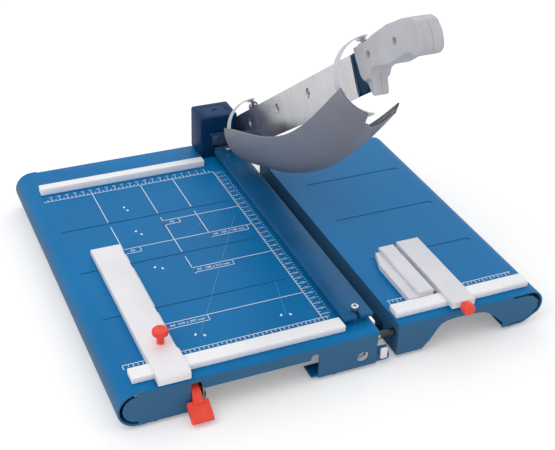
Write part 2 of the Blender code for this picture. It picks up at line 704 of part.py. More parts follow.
def link():
    """The rod, tray, bracket and latch that join the side table to the main one."""
    rod_start = -0.0135
    rod_end = SIDE_LEFT + SHEET + 0.006
    rod = rod_mesh(LINK_RADIUS, (rod_start, -LINK_Y, -LINK_Z), (rod_end, -LINK_Y, -LINK_Z), 16)
    paint(new_object("link_rod", rod, MACHINE), STEEL, 0.25, 1.0)
    collar_end = 0.003
    sleeves = (("link_collar", 0.0050, -TABLE_EDGE + GAP, collar_end, STEEL, 0.2, 1.0),
               ("link_sleeve", 0.0042, collar_end + GAP, SIDE_LEFT - GAP, MID_GREY, 0.4, 0.6))
    for name, radius, low, high, colour, rough, metal in sleeves:
        obj = new_object(name, rod_mesh(radius, (low, -LINK_Y, -LINK_Z), (high, -LINK_Y, -LINK_Z), 20),
                         MACHINE)
        soften(obj, 0.0006, 1)
        cut(obj, rod_mesh(LINK_RADIUS + HOLE_GAP, (low - OVERRUN, -LINK_Y, -LINK_Z),
                          (high + OVERRUN, -LINK_Y, -LINK_Z), 16))
        paint(obj, colour, rough, metal)
    top = -BEAM_DROP - GAP
    floor_end = SIDE_LEFT - GAP
    lip = [(-TABLE_EDGE - TRAY_LAP, top), (floor_end, top), (floor_end, -TRAY_DROP)]
    tray = new_object("gap_tray", outline_mesh(strip(lip, SHEET), "XZ", -TRAY_FRONT, -TRAY_REAR), MACHINE)
    paint(tray, DARK_BLUE, 0.5)
    face = -TABLE_FRONT + SHEET + GAP
    tab_x = (-0.0125, 0.0120)
    tab_z = (-0.0420, -0.0225)
    tab = [(tab_x[0], tab_z[1]), (tab_x[0], tab_z[0])]
    tab += arc((tab_x[1] - 0.003, tab_z[0] + 0.003), 0.003, 270, 360, 3)
    tab += [(tab_x[1], tab_z[0] + 0.006), (tab_x[1] - 0.004, tab_z[1])]
    bracket = new_object("link_bracket", outline_mesh(tab, "XZ", face, face + SHEET), MACHINE)
    button_x = 0.0025
    button_z = -0.0285
    stem = 0.002
    cut(bracket, rod_mesh(stem + 2 * HOLE_GAP, (button_x, face - OVERRUN, button_z),
                          (button_x, face + SHEET + OVERRUN, button_z), 16))
    paint(bracket, BLUE, 0.45)
    travel = 0.002
    slide = empty("latch_travel", MACHINE, (button_x, face, button_z))
    half = 0.0038
    height = 0.0065
    pad_rear = -travel - GAP
    pad = block_mesh((-half, half), (pad_rear - 0.0035, pad_rear), (-height, height))
    button = new_object("latch_button", pad, slide)
    soften(button, 0.0008)
    behind = SHEET + GAP
    weld(button, rod_mesh(stem, (0, pad_rear - 0.001, 0), (0, behind + 0.001, 0), 16),
         rod_mesh(stem + 0.0015, (0, behind + 0.0012, 0), (0, behind + 0.003, 0), 16))
    weld(button, rod_mesh(stem, (0, behind, 0), (0, behind + 0.002, 0), 16))
    paint(button, LIGHT_GREY, 0.5)


def feet():
    """Push-in rubber feet in the lips of the skirts."""
    pad = 0.008
    barb = 0.0036
    seat = -SKIRT_DROP - GAP
    lip = -SKIRT_DROP + SHEET + GAP
    profile = [(0, lip + 0.002), (FOOT_NECK, lip + 0.002), (barb, lip), (FOOT_NECK, lip), (FOOT_NECK, seat)]
    profile += [(pad, seat), (pad, -DESK_DROP + 0.001), (pad - 0.001, -DESK_DROP), (0, -DESK_DROP)]
    places = {name: (x, y, 0) for name, (x, y) in {**MAIN_FEET, **SIDE_FEET}.items()}
    copies(turned_mesh(profile, (0, 0, 0), "Z", 16), MACHINE, places, BLACK, 0.8)


LEVER_REACH = 0.040
LEVER_SHARES = [
    (-0.3125, -0.0125), (-0.4875, -0.1000), (-0.6375, -0.3000), (-0.6625, -0.4375), (-0.5000, -0.4125),
    (-0.3750, -0.2750), (-0.1500, -0.1375), (0.0750, -0.0950),
]
PAD_SHARES = [(-0.5250, -0.3000), (-0.9625, -0.5375), (-1.0000, -0.6500), (-0.9000, -0.6875),
              (-0.4750, -0.4500)]


def suction():
    """The lever, its bracket and pin, and the suction cup that it works."""
    wall = 0.010
    half = 0.005
    bracket_y = (-TABLE_FRONT + SHEET + RUN, -STEM_Y + 0.015)
    top = -SHEET - GAP
    web = -0.0342
    profile = [(-LEVER_X - wall, web), (-LEVER_X - wall, top), (-LEVER_X + wall, top), (-LEVER_X + wall, web)]
    bracket = new_object("suction_bracket", outline_mesh(strip(profile, SHEET), "XZ", *bracket_y), MACHINE)
    web_y = (-STEM_Y - 0.007, bracket_y[1])
    weld(bracket, block_mesh((-LEVER_X - wall + SHEET / 2, -LEVER_X + wall - SHEET / 2), web_y,
                             (web, web + SHEET)))
    pin_radius = 0.002
    stem_radius = 0.003
    cut(bracket, rod_mesh(pin_radius + HOLE_GAP, (-LEVER_X - 2 * wall, -LEVER_PIVOT_Y, -LEVER_PIVOT_Z),
                          (-LEVER_X + 2 * wall, -LEVER_PIVOT_Y, -LEVER_PIVOT_Z), 16),
        rod_mesh(stem_radius + 2 * HOLE_GAP, (-LEVER_X, -STEM_Y, web - OVERRUN),
                 (-LEVER_X, -STEM_Y, web + SHEET + OVERRUN), 16))
    paint(bracket, STEEL, 0.4, 1.0)
    pin = rod_mesh(pin_radius, (-LEVER_X - wall - RUN, -LEVER_PIVOT_Y, -LEVER_PIVOT_Z),
                   (-LEVER_X + wall + RUN, -LEVER_PIVOT_Y, -LEVER_PIVOT_Z), 16)
    paint(new_object("lever_pin", pin, MACHINE), STEEL, 0.3, 1.0)
    axis = empty("lever_axis", MACHINE, (-LEVER_X, -LEVER_PIVOT_Y, -LEVER_PIVOT_Z))
    hub = 0.0048
    outline = arc((0, 0), hub, 0, 120, 4)
    outline += [(u * LEVER_REACH, v * LEVER_REACH) for u, v in LEVER_SHARES]
    inner = STEM_SETBACK + RUN
    outline += [(inner, -0.8 * hub), (inner, 0), (inner / 2, 0)]
    lever = new_object("suction_lever", outline_mesh(outline, "YZ", -half, half), axis)
    pad = [(u * LEVER_REACH, v * LEVER_REACH) for u, v in PAD_SHARES]
    weld(lever, outline_mesh(pad, "YZ", -0.0115, 0.0115))
    soften(lever, 0.0006, 1)
    ridges = []
    for step in range(4):
        u, v = [first + (second - first) * (0.24 + 0.2 * step) for first, second in zip(pad[0], pad[1])]
        y, z = u, v
        ridges.append(rod_mesh(0.0008, (-0.0130, y, z + 0.0002), (0.0130, y, z + 0.0002), 8))
    cut(lever, *ridges, rod_mesh(pin_radius + HOLE_GAP, (-2 * half, 0, 0), (2 * half, 0, 0), 16))
    paint(lever, RED, 0.4)
    stem_axis = empty("stem_travel", MACHINE, (-LEVER_X, -STEM_Y, 0))
    head_low = -0.0215
    stem_tip = -0.0370
    profile = [(0, head_low + 0.0028), (0.005, head_low + 0.0028), (0.005, head_low), (stem_radius, head_low)]
    profile += [(stem_radius, stem_tip), (0, stem_tip)]
    paint(new_object("cup_stem", turned_mesh(profile, (0, 0, 0), "Z", 16), stem_axis), STEEL, 0.3, 1.0)
    bore = stem_radius + 2 * HOLE_GAP
    neck = 0.0062
    neck_top = web - GAP
    rim = 0.020
    profile = [(0, -0.0415), (bore, -0.0415), (bore, neck_top), (neck, neck_top), (neck, -0.0375)]
    profile += [(0.012, -0.0400), (rim, -DESK_DROP + 0.0010), (rim, -DESK_DROP), (rim - 0.0015, -DESK_DROP)]
    profile += [(0.009, -0.0432), (0, -0.0428)]
    cup = turned_mesh(profile, (-LEVER_X, -STEM_Y, 0), "Z", 24)
    paint(new_object("suction_cup", cup, MACHINE), BLACK, 0.7)


HANDLE_SHARES = [
    (0.000, 0.913), (0.007, 0.687), (0.035, 0.375), (0.072, 0.200), (0.092, 0.080), (0.112, 0.010),
    (0.142, 0.000), (0.160, 0.130), (0.178, 0.322), (0.210, 0.400), (0.272, 0.435),
    (0.368, 0.409), (0.500, 0.365), (0.632, 0.374), (0.757, 0.417), (0.824, 0.391), (0.860, 0.305),
    (0.926, 0.270), (0.978, 0.340), (1.000, 0.478), (1.000, 0.635), (0.971, 0.809), (0.912, 0.913),
    (0.779, 0.965), (0.559, 1.000), (0.338, 0.965), (0.176, 0.913),
]
PRONG_TOP_SHARE = 0.26
PRONG_REACH_SHARE = 0.20
SCREW_SHARES = (0.2243, 0.6434)
HANDLE_ROUND_SHARE = 0.29
HANDLE_SCREW_PLACES = [(HANDLE_START + share * HANDLE_LENGTH, (TANG_LOW + TANG_HIGH) / 2)
                       for share in SCREW_SHARES]


def handle_points():
    """The side outline of the handle in the blade's closed frame."""
    low = HANDLE_TOP - HANDLE_DEPTH
    return [(-HANDLE_START - u * HANDLE_LENGTH, low + v * HANDLE_DEPTH) for u, v in HANDLE_SHARES]


def handle(axis):
    """Two moulded half shells around the arm's tang, held by two screws."""
    whole = new_object("handle_form", outline_mesh(handle_points(), "YZ", HANDLE_X - HANDLE_HALF,
                                                   HANDLE_X + HANDLE_HALF))
    soften(whole, HANDLE_ROUND_SHARE * HANDLE_HALF, 3, 50)
    step = 0.0038
    prong_top = HANDLE_TOP - (1 - PRONG_TOP_SHARE) * HANDLE_DEPTH
    behind = (-HANDLE_START - PRONG_REACH_SHARE * HANDLE_LENGTH, 0)
    for side in (-1, 1):
        limits = sorted((HANDLE_X + side * (HANDLE_HALF - step), HANDLE_X + side * 2 * HANDLE_HALF))
        cut(whole, block_mesh(limits, behind, (-HANDLE_DEPTH, prong_top)))
    form = evaluated(whole)
    bpy.data.objects.remove(whole)
    tang = outline_mesh(tang_points(GAP), "YZ", HANDLE_X - ARM_THICK / 2 - GAP,
                        HANDLE_X + ARM_THICK / 2 + GAP)
    screws = [(-a, z) for a, z in HANDLE_SCREW_PLACES]
    head_well = 0.0042
    head_depth = 0.0045
    bore = 0.0024
    tip = 0.0075
    ends = (-HANDLE_START - 2 * HANDLE_LENGTH, 0)
    for side, name in ((-1, "handle_left"), (1, "handle_right")):
        far = HANDLE_X + side * HANDLE_HALF
        obj = new_object(name, form.copy(), axis)
        beyond = HANDLE_X - side * 2 * HANDLE_HALF
        split = sorted((HANDLE_X + side * GAP / 2, beyond))
        cut(obj, block_mesh(split, ends, (-HANDLE_DEPTH, HANDLE_DEPTH)))
        cut(obj, tang)
        if side < 0:
            cut(obj, *[rod_mesh(head_well, (far - OVERRUN, y, z), (far + head_depth, y, z), 16)
                       for y, z in screws])
            cut(obj, *[rod_mesh(bore, (far, y, z), (HANDLE_X, y, z), 12) for y, z in screws])
        else:
            cut(obj, *[rod_mesh(bore, (HANDLE_X, y, z), (HANDLE_X + tip, y, z), 12) for y, z in screws])
        paint(obj, HANDLE_GREY, 0.45)
    start = HANDLE_X - HANDLE_HALF + head_depth - GAP
    length = HANDLE_X + tip - GAP - start
    screw = bolt_mesh(0.0038, 0.0018, 0.0020, length, (start, 0, 0), (1, 0, 0), 12)
    places = {name: (0, y, z) for name, (y, z) in zip(("handle_screw_near", "handle_screw_far"), screws)}
    copies(screw, axis, places, STEEL, 0.3, 1.0)


def tang_points(extra):
    """The outline of the arm's tang, grown by a clearance."""
    start = HANDLE_START - 0.006
    low = TANG_LOW - extra
    high = TANG_HIGH + extra
    return [(-start, high), (-TANG_END - extra, high - 0.001), (-TANG_END - extra, low + 0.001),
            (-start, low)]


SCREW_PLACES = [(0.0759, 0.003), (0.1756, 0.003), (0.2744, 0.003), (0.3676, -0.0157)]


def blade(axis):
    """The ground blade, the painted arm behind it, and the screws that join them."""
    arm_low = -ARM_DROP
    arm_high = SPINE_UP + 0.001
    hub = 0.017
    outline = arc((0, 0), hub, -90, 80, 10)
    front = HANDLE_START - GAP
    taper = 0.001
    outline += [(-hub - 0.005, arm_high), (-front, arm_high), (-front, TANG_HIGH),
                (-TANG_END, TANG_HIGH - taper)]
    outline += [(-TANG_END, TANG_LOW + taper), (-front, TANG_LOW), (-front - 0.003, -ARM_DROP + 0.013)]
    outline += [(-front + 0.006, arm_low)]
    outline += [(-0.040, arm_low)]
    arm = new_object("blade_arm", outline_mesh(outline, "YZ", ARM_X, ARM_X + ARM_THICK), axis)
    soften(arm, 0.0006, 1)
    bores = [rod_mesh(PIVOT_RADIUS + HOLE_GAP, (ARM_X - OVERRUN, 0, 0), (ARM_X + ARM_THICK + OVERRUN, 0, 0))]
    for a, z in SCREW_PLACES[:3]:
        bores.append(rod_mesh(0.0029, (ARM_X - OVERRUN, -a, z), (ARM_X + ARM_THICK + OVERRUN, -a, z), 16))
    for a, z in HANDLE_SCREW_PLACES:
        bores.append(rod_mesh(0.0024, (ARM_X - OVERRUN, -a, z), (ARM_X + ARM_THICK + OVERRUN, -a, z), 12))
    cut(arm, *bores)
    paint(arm, DARK_BLUE, 0.4)
    steps = 12
    low = SPINE_UP - BLADE_WIDTH
    rise = 0.002
    edge = []
    for index in range(steps + 1):
        share = index / steps
        edge.append((-BLADE_START - (BLADE_END - BLADE_START) * share, low + rise * (2 * share - 1) ** 2))
    outline = [(-BLADE_END, SPINE_UP), (-BLADE_START, SPINE_UP)] + edge
    steel = new_object("cutting_blade", outline_mesh(outline, "YZ", BLADE_SIDE, BLADE_SIDE + BLADE_THICK),
                       axis)
    counter = 0.0058
    seats = [rod_mesh(counter, (BLADE_SIDE - OVERRUN, -a, z), (ARM_X + OVERRUN, -a, z))
             for a, z in SCREW_PLACES[:3]]
    pin = SCREW_PLACES[3]
    seats.append(rod_mesh(0.0016, (BLADE_SIDE - OVERRUN, -pin[0], pin[1]),
                          (ARM_X - GAP / 2, -pin[0], pin[1]), 12))
    cut(steel, *seats)
    paint(steel, STEEL, 0.3, 1.0)
    head = ARM_X - GAP - BLADE_SIDE - 0.0005
    reach = ARM_THICK + GAP
    screw = bolt_mesh(counter - 0.0005, head, 0.0025, reach, (ARM_X - GAP, 0, 0), (1, 0, 0), 20)
    names = ("blade_screw_rear", "blade_screw_middle", "blade_screw_front")
    places = {name: (0, -a, z) for name, (a, z) in zip(names, SCREW_PLACES)}
    copies(screw, axis, places, STEEL, 0.25, 1.0)


PIN_RADIUS = 0.0018
EYE_RADIUS = 0.0036


def guard_mounts(axis):
    """The brackets on the arm that carry the guard's hinge pins, one beside each hoop."""
    half = HOOP_WIDE / 2
    ear = 0.0022
    plate_x = ARM_X + ARM_THICK + GAP
    plate_thick = 0.002
    foot_low = -0.008
    foot_high = 0.012
    outline = [(plate_x, foot_low), (plate_x + plate_thick, foot_low), (plate_x + plate_thick, foot_high)]
    outline += arc((GUARD_HINGE_X, GUARD_HINGE_UP), EYE_RADIUS, -44, 180, 8)
    outline += [(GUARD_HINGE_X - EYE_RADIUS, SPINE_UP + ear), (plate_x, SPINE_UP + ear)]
    ears = [outline_mesh(outline, "XZ", *sorted((way * (half + GAP), way * (half + GAP + ear))))
            for way in (-1, 1)]
    length = half + GAP + ear / 2
    bore = rod_mesh(PIN_RADIUS + HOLE_GAP, (GUARD_HINGE_X, -HOOP_WIDE, GUARD_HINGE_UP),
                    (GUARD_HINGE_X, HOOP_WIDE, GUARD_HINGE_UP), 16)
    pin_reach = half + GAP + ear + HOLE_GAP
    pin = rod_mesh(PIN_RADIUS, (GUARD_HINGE_X, -pin_reach, GUARD_HINGE_UP),
                   (GUARD_HINGE_X, pin_reach, GUARD_HINGE_UP), 16)
    for place, end in ((REAR_HOOP, "rear"), (FRONT_HOOP, "front")):
        foot = block_mesh((plate_x, plate_x + plate_thick), (-length, length), (foot_low, foot_high))
        at = (0, EYE_SHIFT - place, 0)
        bracket = new_object(f"guard_bracket_{end}", foot, axis, at)
        weld(bracket, *ears)
        cut(bracket, bore)
        paint(bracket, MID_GREY, 0.5)
        paint(new_object(f"guard_pin_{end}", pin, axis, at), STEEL, 0.3, 1.0)


def section_point(angle, radius_x, radius_z, drop):
    """A point of a guard section, with its angle from straight down towards the left."""
    x = GUARD_CENTRE_X - GUARD_HINGE_X - radius_x * math.sin(angle)
    z = -GUARD_CENTRE_DOWN - GUARD_HINGE_UP - drop - radius_z * math.cos(angle)
    return x, z


SHIELD_REACH = [(-62, 0.922), (-45, 0.925), (-30, 0.955), (-18, 0.972), (-7, 0.942), (3, 0.930), (16, 0.943),
                (24, 1.0)]


def guard(axis):
    """Two spring-steel hoops and the moulded shield that they carry."""
    hoop_end = 12
    hoop_top = 182
    steps = 20
    path = [section_point(math.radians(a), HOOP_RADIUS, HOOP_RADIUS, 0)
            for a in np.linspace(hoop_end, hoop_top, steps + 1)]
    top = path[-1][1]
    half = HOOP_WIDE / 2
    band = outline_mesh(strip(path, HOOP_THICK), "XZ", -half, half)
    inner = path[-1][0]
    level = (top - 1.3 * HOOP_THICK, top - HOOP_THICK / 3)
    shelf = block_mesh((inner - HOOP_THICK, inner), (0, EYE_SHIFT + half), level)
    eye_y = (EYE_SHIFT - half, EYE_SHIFT + half)
    step = block_mesh((inner - HOOP_THICK / 2, 0.7 * HOOP_THICK), eye_y, level)
    hook = block_mesh((-HOOP_THICK / 3, 0.7 * HOOP_THICK), eye_y, (EYE_RADIUS / 2, top - HOOP_THICK))
    eye = rod_mesh(EYE_RADIUS, (0, eye_y[0], 0), (0, eye_y[1], 0), 20)
    bore = rod_mesh(PIN_RADIUS + HOLE_GAP, (0, -HOOP_WIDE, 0), (0, 3 * HOOP_WIDE, 0), 16)
    for place, end in ((REAR_HOOP, "rear"), (FRONT_HOOP, "front")):
        hoop = new_object(f"guard_hoop_{end}", band, axis, (0, -place, 0))
        weld(hoop, shelf)
        weld(hoop, step)
        weld(hoop, eye)
        weld(hoop, hook)
        cut(hoop, bore)
        paint(hoop, LIGHT_GREY, 0.4)
    rows = 24
    columns = 21
    bm = bmesh.new()
    bmesh.ops.create_grid(bm, x_segments=rows, y_segments=columns, size=0.5)
    inner = HOOP_RADIUS + GAP
    left_rear = math.radians(104)
    left_front = math.radians(78)
    left_rise = math.radians(20)
    right_rear = math.radians(-62)
    right_front = math.radians(-54)
    reach_angles, reach_shares = zip(*SHIELD_REACH)
    for vert in bm.verts:
        along = vert.co.x + 0.5
        around = vert.co.y + 0.5
        left = left_rear + (left_front - left_rear) * along - left_rise * math.sin(math.pi * along)
        right = right_rear + (right_front - right_rear) * along
        angle = right + (left - right) * around
        along *= float(np.interp(math.degrees(angle), reach_angles, reach_shares))
        swell = math.sin(math.pi * along)
        radius_x = inner + SHIELD_SPREAD * swell
        x, z = section_point(angle, radius_x, inner + SHIELD_BULGE * swell, SHIELD_SAG * swell)
        vert.co = (x, -SHIELD_START - (SHIELD_END - SHIELD_START) * along, z)
    mesh = bpy.data.meshes.new("shield")
    bm.to_mesh(mesh)
    bm.free()
    shield = new_object("guard_shield", mesh, axis)
    thicken = shield.modifiers.new("thickness", "SOLIDIFY")
    thicken.thickness = SHIELD_THICK
    thicken.offset = 1
    paint(shield, MID_GREY, 0.5)


def knob(name, axis, top, brim, brim_radius, neck_radius, seat, stud_radius, stud_tip, turn="Z"):
    """A turned knob on a threaded stud: its top, brim, neck and stud run down its own axis."""
    profile = [(0, top), (0.55 * brim_radius, top - 0.0007), (0.9 * brim_radius, top - 0.0022)]
    profile += [(brim_radius, (top + brim) / 2), (brim_radius, brim), (neck_radius, brim - 0.0012)]
    profile += [(neck_radius, seat), (stud_radius, seat), (stud_radius, stud_tip), (0, stud_tip)]
    return paint(new_object(name, turned_mesh(profile, (0, 0, 0), turn, 24), axis), RED, 0.35)


def gauges():
    """The long back gauge with its knob, and the strip gauge with its knob and stops."""
    ride = FRONT_FENCE_UP + 2 * GAP
    under = 0.0006
    rear_face = -CUT_LENGTH + RUN
    front_face = -CUT_LENGTH - FRONT_FENCE_DEPTH - RUN
    slide = empty("back_gauge_slide", MACHINE, (-ARM_GAUGE_X, -CUT_LENGTH, 0))
    low_top = 0.0090
    high_top = 0.0135
    nose = -TABLE_FRONT - 0.002
    y = -CUT_LENGTH
    outline = [(-ARM_GAUGE_REAR, under), (-ARM_GAUGE_REAR, low_top - 0.003),
               (-ARM_GAUGE_REAR - 0.003, low_top)]
    ramp = 0.010
    outline += [(-CUT_LENGTH + 0.4 * ramp + ramp, low_top), (-CUT_LENGTH + 0.4 * ramp, high_top)]
    outline += [(nose + 0.003, high_top), (nose, high_top - 0.003)]
    outline += [(nose, 0.003), (front_face, 0.003), (front_face, ride), (rear_face, ride), (rear_face, under)]
    outline = [(u - y, v) for u, v in outline]
    half = ARM_GAUGE_WIDE / 2
    arm = new_object("back_gauge_arm", outline_mesh(outline, "YZ", -half, half), slide)
    soften(arm, 0.0012)
    knob_at = (0.004, 0.025)
    stud = 0.0028
    cut(arm, rod_mesh(stud + HOLE_GAP, (*knob_at, -OVERRUN), (*knob_at, high_top + OVERRUN), 16))
    paint(arm, LIGHT_GREY, 0.45)
    spin = empty("gauge_knob_axis", slide, (*knob_at, 0))
    knob("gauge_knob", spin, 0.0265, 0.0205, 0.0085, 0.004, low_top + GAP, stud, 0.0008)

    slide = empty("strip_gauge_slide", MACHINE, (STRIP_X, -CUT_LENGTH, 0))
    nose = -SIDE_FRONT - 0.0015
    outline = [(-STRIP_REAR, under), (-STRIP_REAR, STRIP_UP), (nose, STRIP_UP), (nose, 0.0045)]
    outline += [(front_face, 0.0045), (front_face, ride), (rear_face, ride), (rear_face, under)]
    outline = [(u - y, v) for u, v in outline]
    half = STRIP_WIDE / 2
    gauge = new_object("strip_gauge", outline_mesh(outline, "YZ", -half, half), slide)
    soften(gauge, 0.0009)
    stud = 0.0022
    stud_z = 0.0083
    rod_inset = 0.010
    rod_depth = 0.016
    rods_y = (rod_inset, STOP_LENGTH - 0.013)
    rods_z = 0.0043
    rod_radius = 0.002
    bores = [rod_mesh(rod_radius + HOLE_GAP, (-half - OVERRUN, v, rods_z), (half - 0.006, v, rods_z), 12)
             for v in rods_y]
    bores.append(rod_mesh(stud + HOLE_GAP, (0, nose - y - OVERRUN, stud_z),
                          (0, front_face - y + OVERRUN / 4, stud_z),
                          16))
    cut(gauge, *bores)
    paint(gauge, LIGHT_GREY, 0.5)
    spin = empty("strip_knob_axis", slide, (0, nose - y, stud_z))
    knob("strip_knob", spin, 0.0135, 0.0040, 0.0070, 0.0035, GAP, stud, -0.0085, "-Y")

    stops = empty("strip_stop_slide", slide, (0, 0, 0))
    right = -half - 0.0055
    lower_left = STOP_LEFT - STRIP_X
    upper_left = lower_left + STOP_STEP
    split = 0.0080
    front = rear_face - y
    rear = front + STOP_LENGTH
    corner = (0.0067, 0.024)
    outline = [(right, rear), (lower_left + corner[0], rear), (lower_left, rear - corner[1]),
               (lower_left, front)]
    outline += [(right, front)]
    lower = new_object("strip_stop_lower", outline_mesh(outline, "XY", under, split), stops)
    soften(lower, 0.0006, 1)
    weld(lower, *[rod_mesh(rod_radius, (right - 0.001, v, rods_z), (-half + rod_depth, v, rods_z), 12)
                  for v in rods_y])
    paint(lower, LIGHT_GREY, 0.5)
    upper = block_mesh((upper_left, right), (front + 0.001, rear + 0.0035), (split + GAP, STRIP_UP))
    upper = new_object("strip_stop_upper", upper, stops)
    soften(upper, 0.0006, 1)
    paint(upper, LIGHT_GREY, 0.5)


def stand_on_origin():
    """Move the machine so that the middle of its footprint is at the origin and it stands on Z = 0."""
    bpy.context.view_layer.update()
    depsgraph = bpy.context.evaluated_depsgraph_get()
    low = np.full(3, np.inf)
    high = -low
    for obj in PARTS.objects:
        if obj.type != "MESH":
            continue
        shape = obj.evaluated_get(depsgraph)
        points = np.array([shape.matrix_world @ v.co for v in shape.data.vertices])
        low = np.minimum(low, points.min(axis=0))
        high = np.maximum(high, points.max(axis=0))
    MACHINE.location = (-(low[0] + high[0]) / 2, -(low[1] + high[1]) / 2, -low[2])


def build():
    """Build every group of pieces."""
    main_table()
    side_table()
    fences()
    tower()
    knife()
    clamp()
    link()
    feet()
    suction()
    blade_axis = empty("blade_axis", MACHINE, (0, PIVOT_Y, PIVOT_Z), (-math.radians(OPEN_ANGLE), 0, 0))
    blade(blade_axis)
    handle(blade_axis)
    guard_mounts(blade_axis)
    guard_axis = empty("guard_axis", blade_axis, (GUARD_HINGE_X, 0, GUARD_HINGE_UP))
    guard(guard_axis)
    gauges()
    stand_on_origin()


build()
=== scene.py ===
import math

import bmesh
import bpy
from mathutils import Matrix, Vector


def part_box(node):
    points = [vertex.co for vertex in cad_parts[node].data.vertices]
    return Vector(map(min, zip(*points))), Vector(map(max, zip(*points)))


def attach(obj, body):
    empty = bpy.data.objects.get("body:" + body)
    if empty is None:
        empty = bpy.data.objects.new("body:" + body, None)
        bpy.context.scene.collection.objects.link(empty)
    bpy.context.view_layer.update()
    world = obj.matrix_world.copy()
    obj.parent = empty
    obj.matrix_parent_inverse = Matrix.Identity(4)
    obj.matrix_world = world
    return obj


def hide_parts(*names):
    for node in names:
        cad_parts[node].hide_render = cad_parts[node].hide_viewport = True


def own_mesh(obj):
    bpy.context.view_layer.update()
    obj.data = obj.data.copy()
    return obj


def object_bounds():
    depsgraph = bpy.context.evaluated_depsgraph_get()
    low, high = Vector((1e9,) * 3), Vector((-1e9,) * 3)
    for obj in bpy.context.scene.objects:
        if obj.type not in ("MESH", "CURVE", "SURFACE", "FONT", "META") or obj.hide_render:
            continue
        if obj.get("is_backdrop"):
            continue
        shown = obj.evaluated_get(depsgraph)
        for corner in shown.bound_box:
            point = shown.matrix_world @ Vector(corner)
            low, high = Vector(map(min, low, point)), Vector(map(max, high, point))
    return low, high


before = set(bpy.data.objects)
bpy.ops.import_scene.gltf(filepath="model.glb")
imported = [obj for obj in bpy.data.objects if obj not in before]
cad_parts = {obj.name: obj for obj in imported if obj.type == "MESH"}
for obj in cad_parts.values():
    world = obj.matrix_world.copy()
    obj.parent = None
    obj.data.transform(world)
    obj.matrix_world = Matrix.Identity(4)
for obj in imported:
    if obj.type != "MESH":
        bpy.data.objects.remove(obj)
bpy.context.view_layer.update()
MM = 0.001

# Camera: it stands in front of the cutter's left corner and looks down on it, with a long lens.
# Its angles, distance and lens were fitted to the format lines and straight edges in the photograph.
edge_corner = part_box("lower_knife")[1]
fence_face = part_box("rear_fence")[0].y
machine = Matrix.Translation((edge_corner.x, fence_face, edge_corner.z))
azimuth, elevation, roll = (math.radians(a) for a in (-24.716, 32.588, 2.304))
back = Vector((math.sin(azimuth) * math.cos(elevation), -math.cos(azimuth) * math.cos(elevation),
               math.sin(elevation)))
right = (-back).cross(Vector((0, 0, 1))).normalized()
up = right.cross(-back)
turned_right = math.cos(roll) * right + math.sin(roll) * up
turned_up = -math.sin(roll) * right + math.cos(roll) * up
aim = Vector((0.02353, 0.01924, 0.046))
distance = 1.34359
eye = aim + distance * back
lens = bpy.data.cameras.new("view")
lens.lens = 72.22
lens.shift_x = -0.0025
lens.shift_y = -0.0049
camera = bpy.data.objects.new("view", lens)
bpy.context.scene.collection.objects.link(camera)
camera.matrix_world = Matrix((
    (turned_right.x, turned_up.x, back.x, eye.x),
    (turned_right.y, turned_up.y, back.y, eye.y),
    (turned_right.z, turned_up.z, back.z, eye.z),
    (0, 0, 0, 1),
))
bpy.context.scene.camera = camera
bpy.context.scene.view_settings.view_transform = "Standard"

# Studio: a white paper floor under an even white tent, with one large soft lamp at the left and
# a weaker one behind, so that colours show about as they are written.


def linear(code):
    """Turn an sRGB hex value into the linear colour that shaders take."""
    channels = [int(code[i:i + 2], 16) / 255 for i in (0, 2, 4)]
    return tuple(c / 12.92 if c <= 0.04045 else ((c + 0.055) / 1.055) ** 2.4 for c in channels) + (1.0,)


def add(tree, kind, sockets, **settings):
    """Add a node with its settings, and give its sockets their values or links."""
    made = tree.nodes.new("ShaderNode" + kind)
    for name, value in settings.items():
        setattr(made, name, value)
    for name, value in sockets.items():
        if isinstance(value, bpy.types.NodeSocket):
            tree.links.new(value, made.inputs[name])
        else:
            made.inputs[name].default_value = value
    return made


LIGHT_LEVEL = 0.72
world = bpy.data.worlds.new("white_tent")
bpy.context.scene.world = world
world.use_nodes = True
tree = world.node_tree
rays = add(tree, "LightPath", {})
seen = add(tree, "Math", {0: rays.outputs["Is Camera Ray"], 1: rays.outputs["Is Glossy Ray"]},
           operation="MAXIMUM")
seen = add(tree, "Math", {0: seen.outputs[0], 1: rays.outputs["Is Transmission Ray"]}, operation="MAXIMUM")
level = add(tree, "Mix", {0: seen.outputs[0], 2: LIGHT_LEVEL, 3: 1.0}, data_type="FLOAT")
tree.links.new(level.outputs[0], tree.nodes["Background"].inputs["Strength"])
tree.nodes["Background"].inputs["Color"].default_value = linear("FFFFFF")

# The paper glows a little towards the camera alone, so that it reads as white and keeps its shadow.
PAPER_LIFT = 0.24
FLOOR_HALF = 6.0
FLOOR_BELOW = 0.2 * MM
paper = bpy.data.materials.new("floor_paper")
paper.use_nodes = True
tree = paper.node_tree
shader = tree.nodes["Principled BSDF"]
shader.inputs["Base Color"].default_value = linear("F4F4F4")
shader.inputs["Roughness"].default_value = 0.9
shader.inputs["Specular IOR Level"].default_value = 0.1
rays = add(tree, "LightPath", {})
lift = add(tree, "Emission", {"Color": linear("FFFFFF"), "Strength": PAPER_LIFT})
none = add(tree, "Emission", {"Color": linear("000000"), "Strength": 0.0})
seen = add(tree, "MixShader", {0: rays.outputs["Is Camera Ray"], 1: none.outputs[0], 2: lift.outputs[0]})
both = add(tree, "AddShader", {0: shader.outputs[0], 1: seen.outputs[0]})
tree.links.new(both.outputs[0], tree.nodes["Material Output"].inputs["Surface"])
bm = bmesh.new()
bmesh.ops.create_grid(bm, x_segments=2, y_segments=2, size=FLOOR_HALF)
mesh = bpy.data.meshes.new("floor")
bm.to_mesh(mesh)
bm.free()
floor = bpy.data.objects.new("floor", mesh)
floor.location.z = -FLOOR_BELOW
mesh.materials.append(paper)
bpy.context.scene.collection.objects.link(floor)
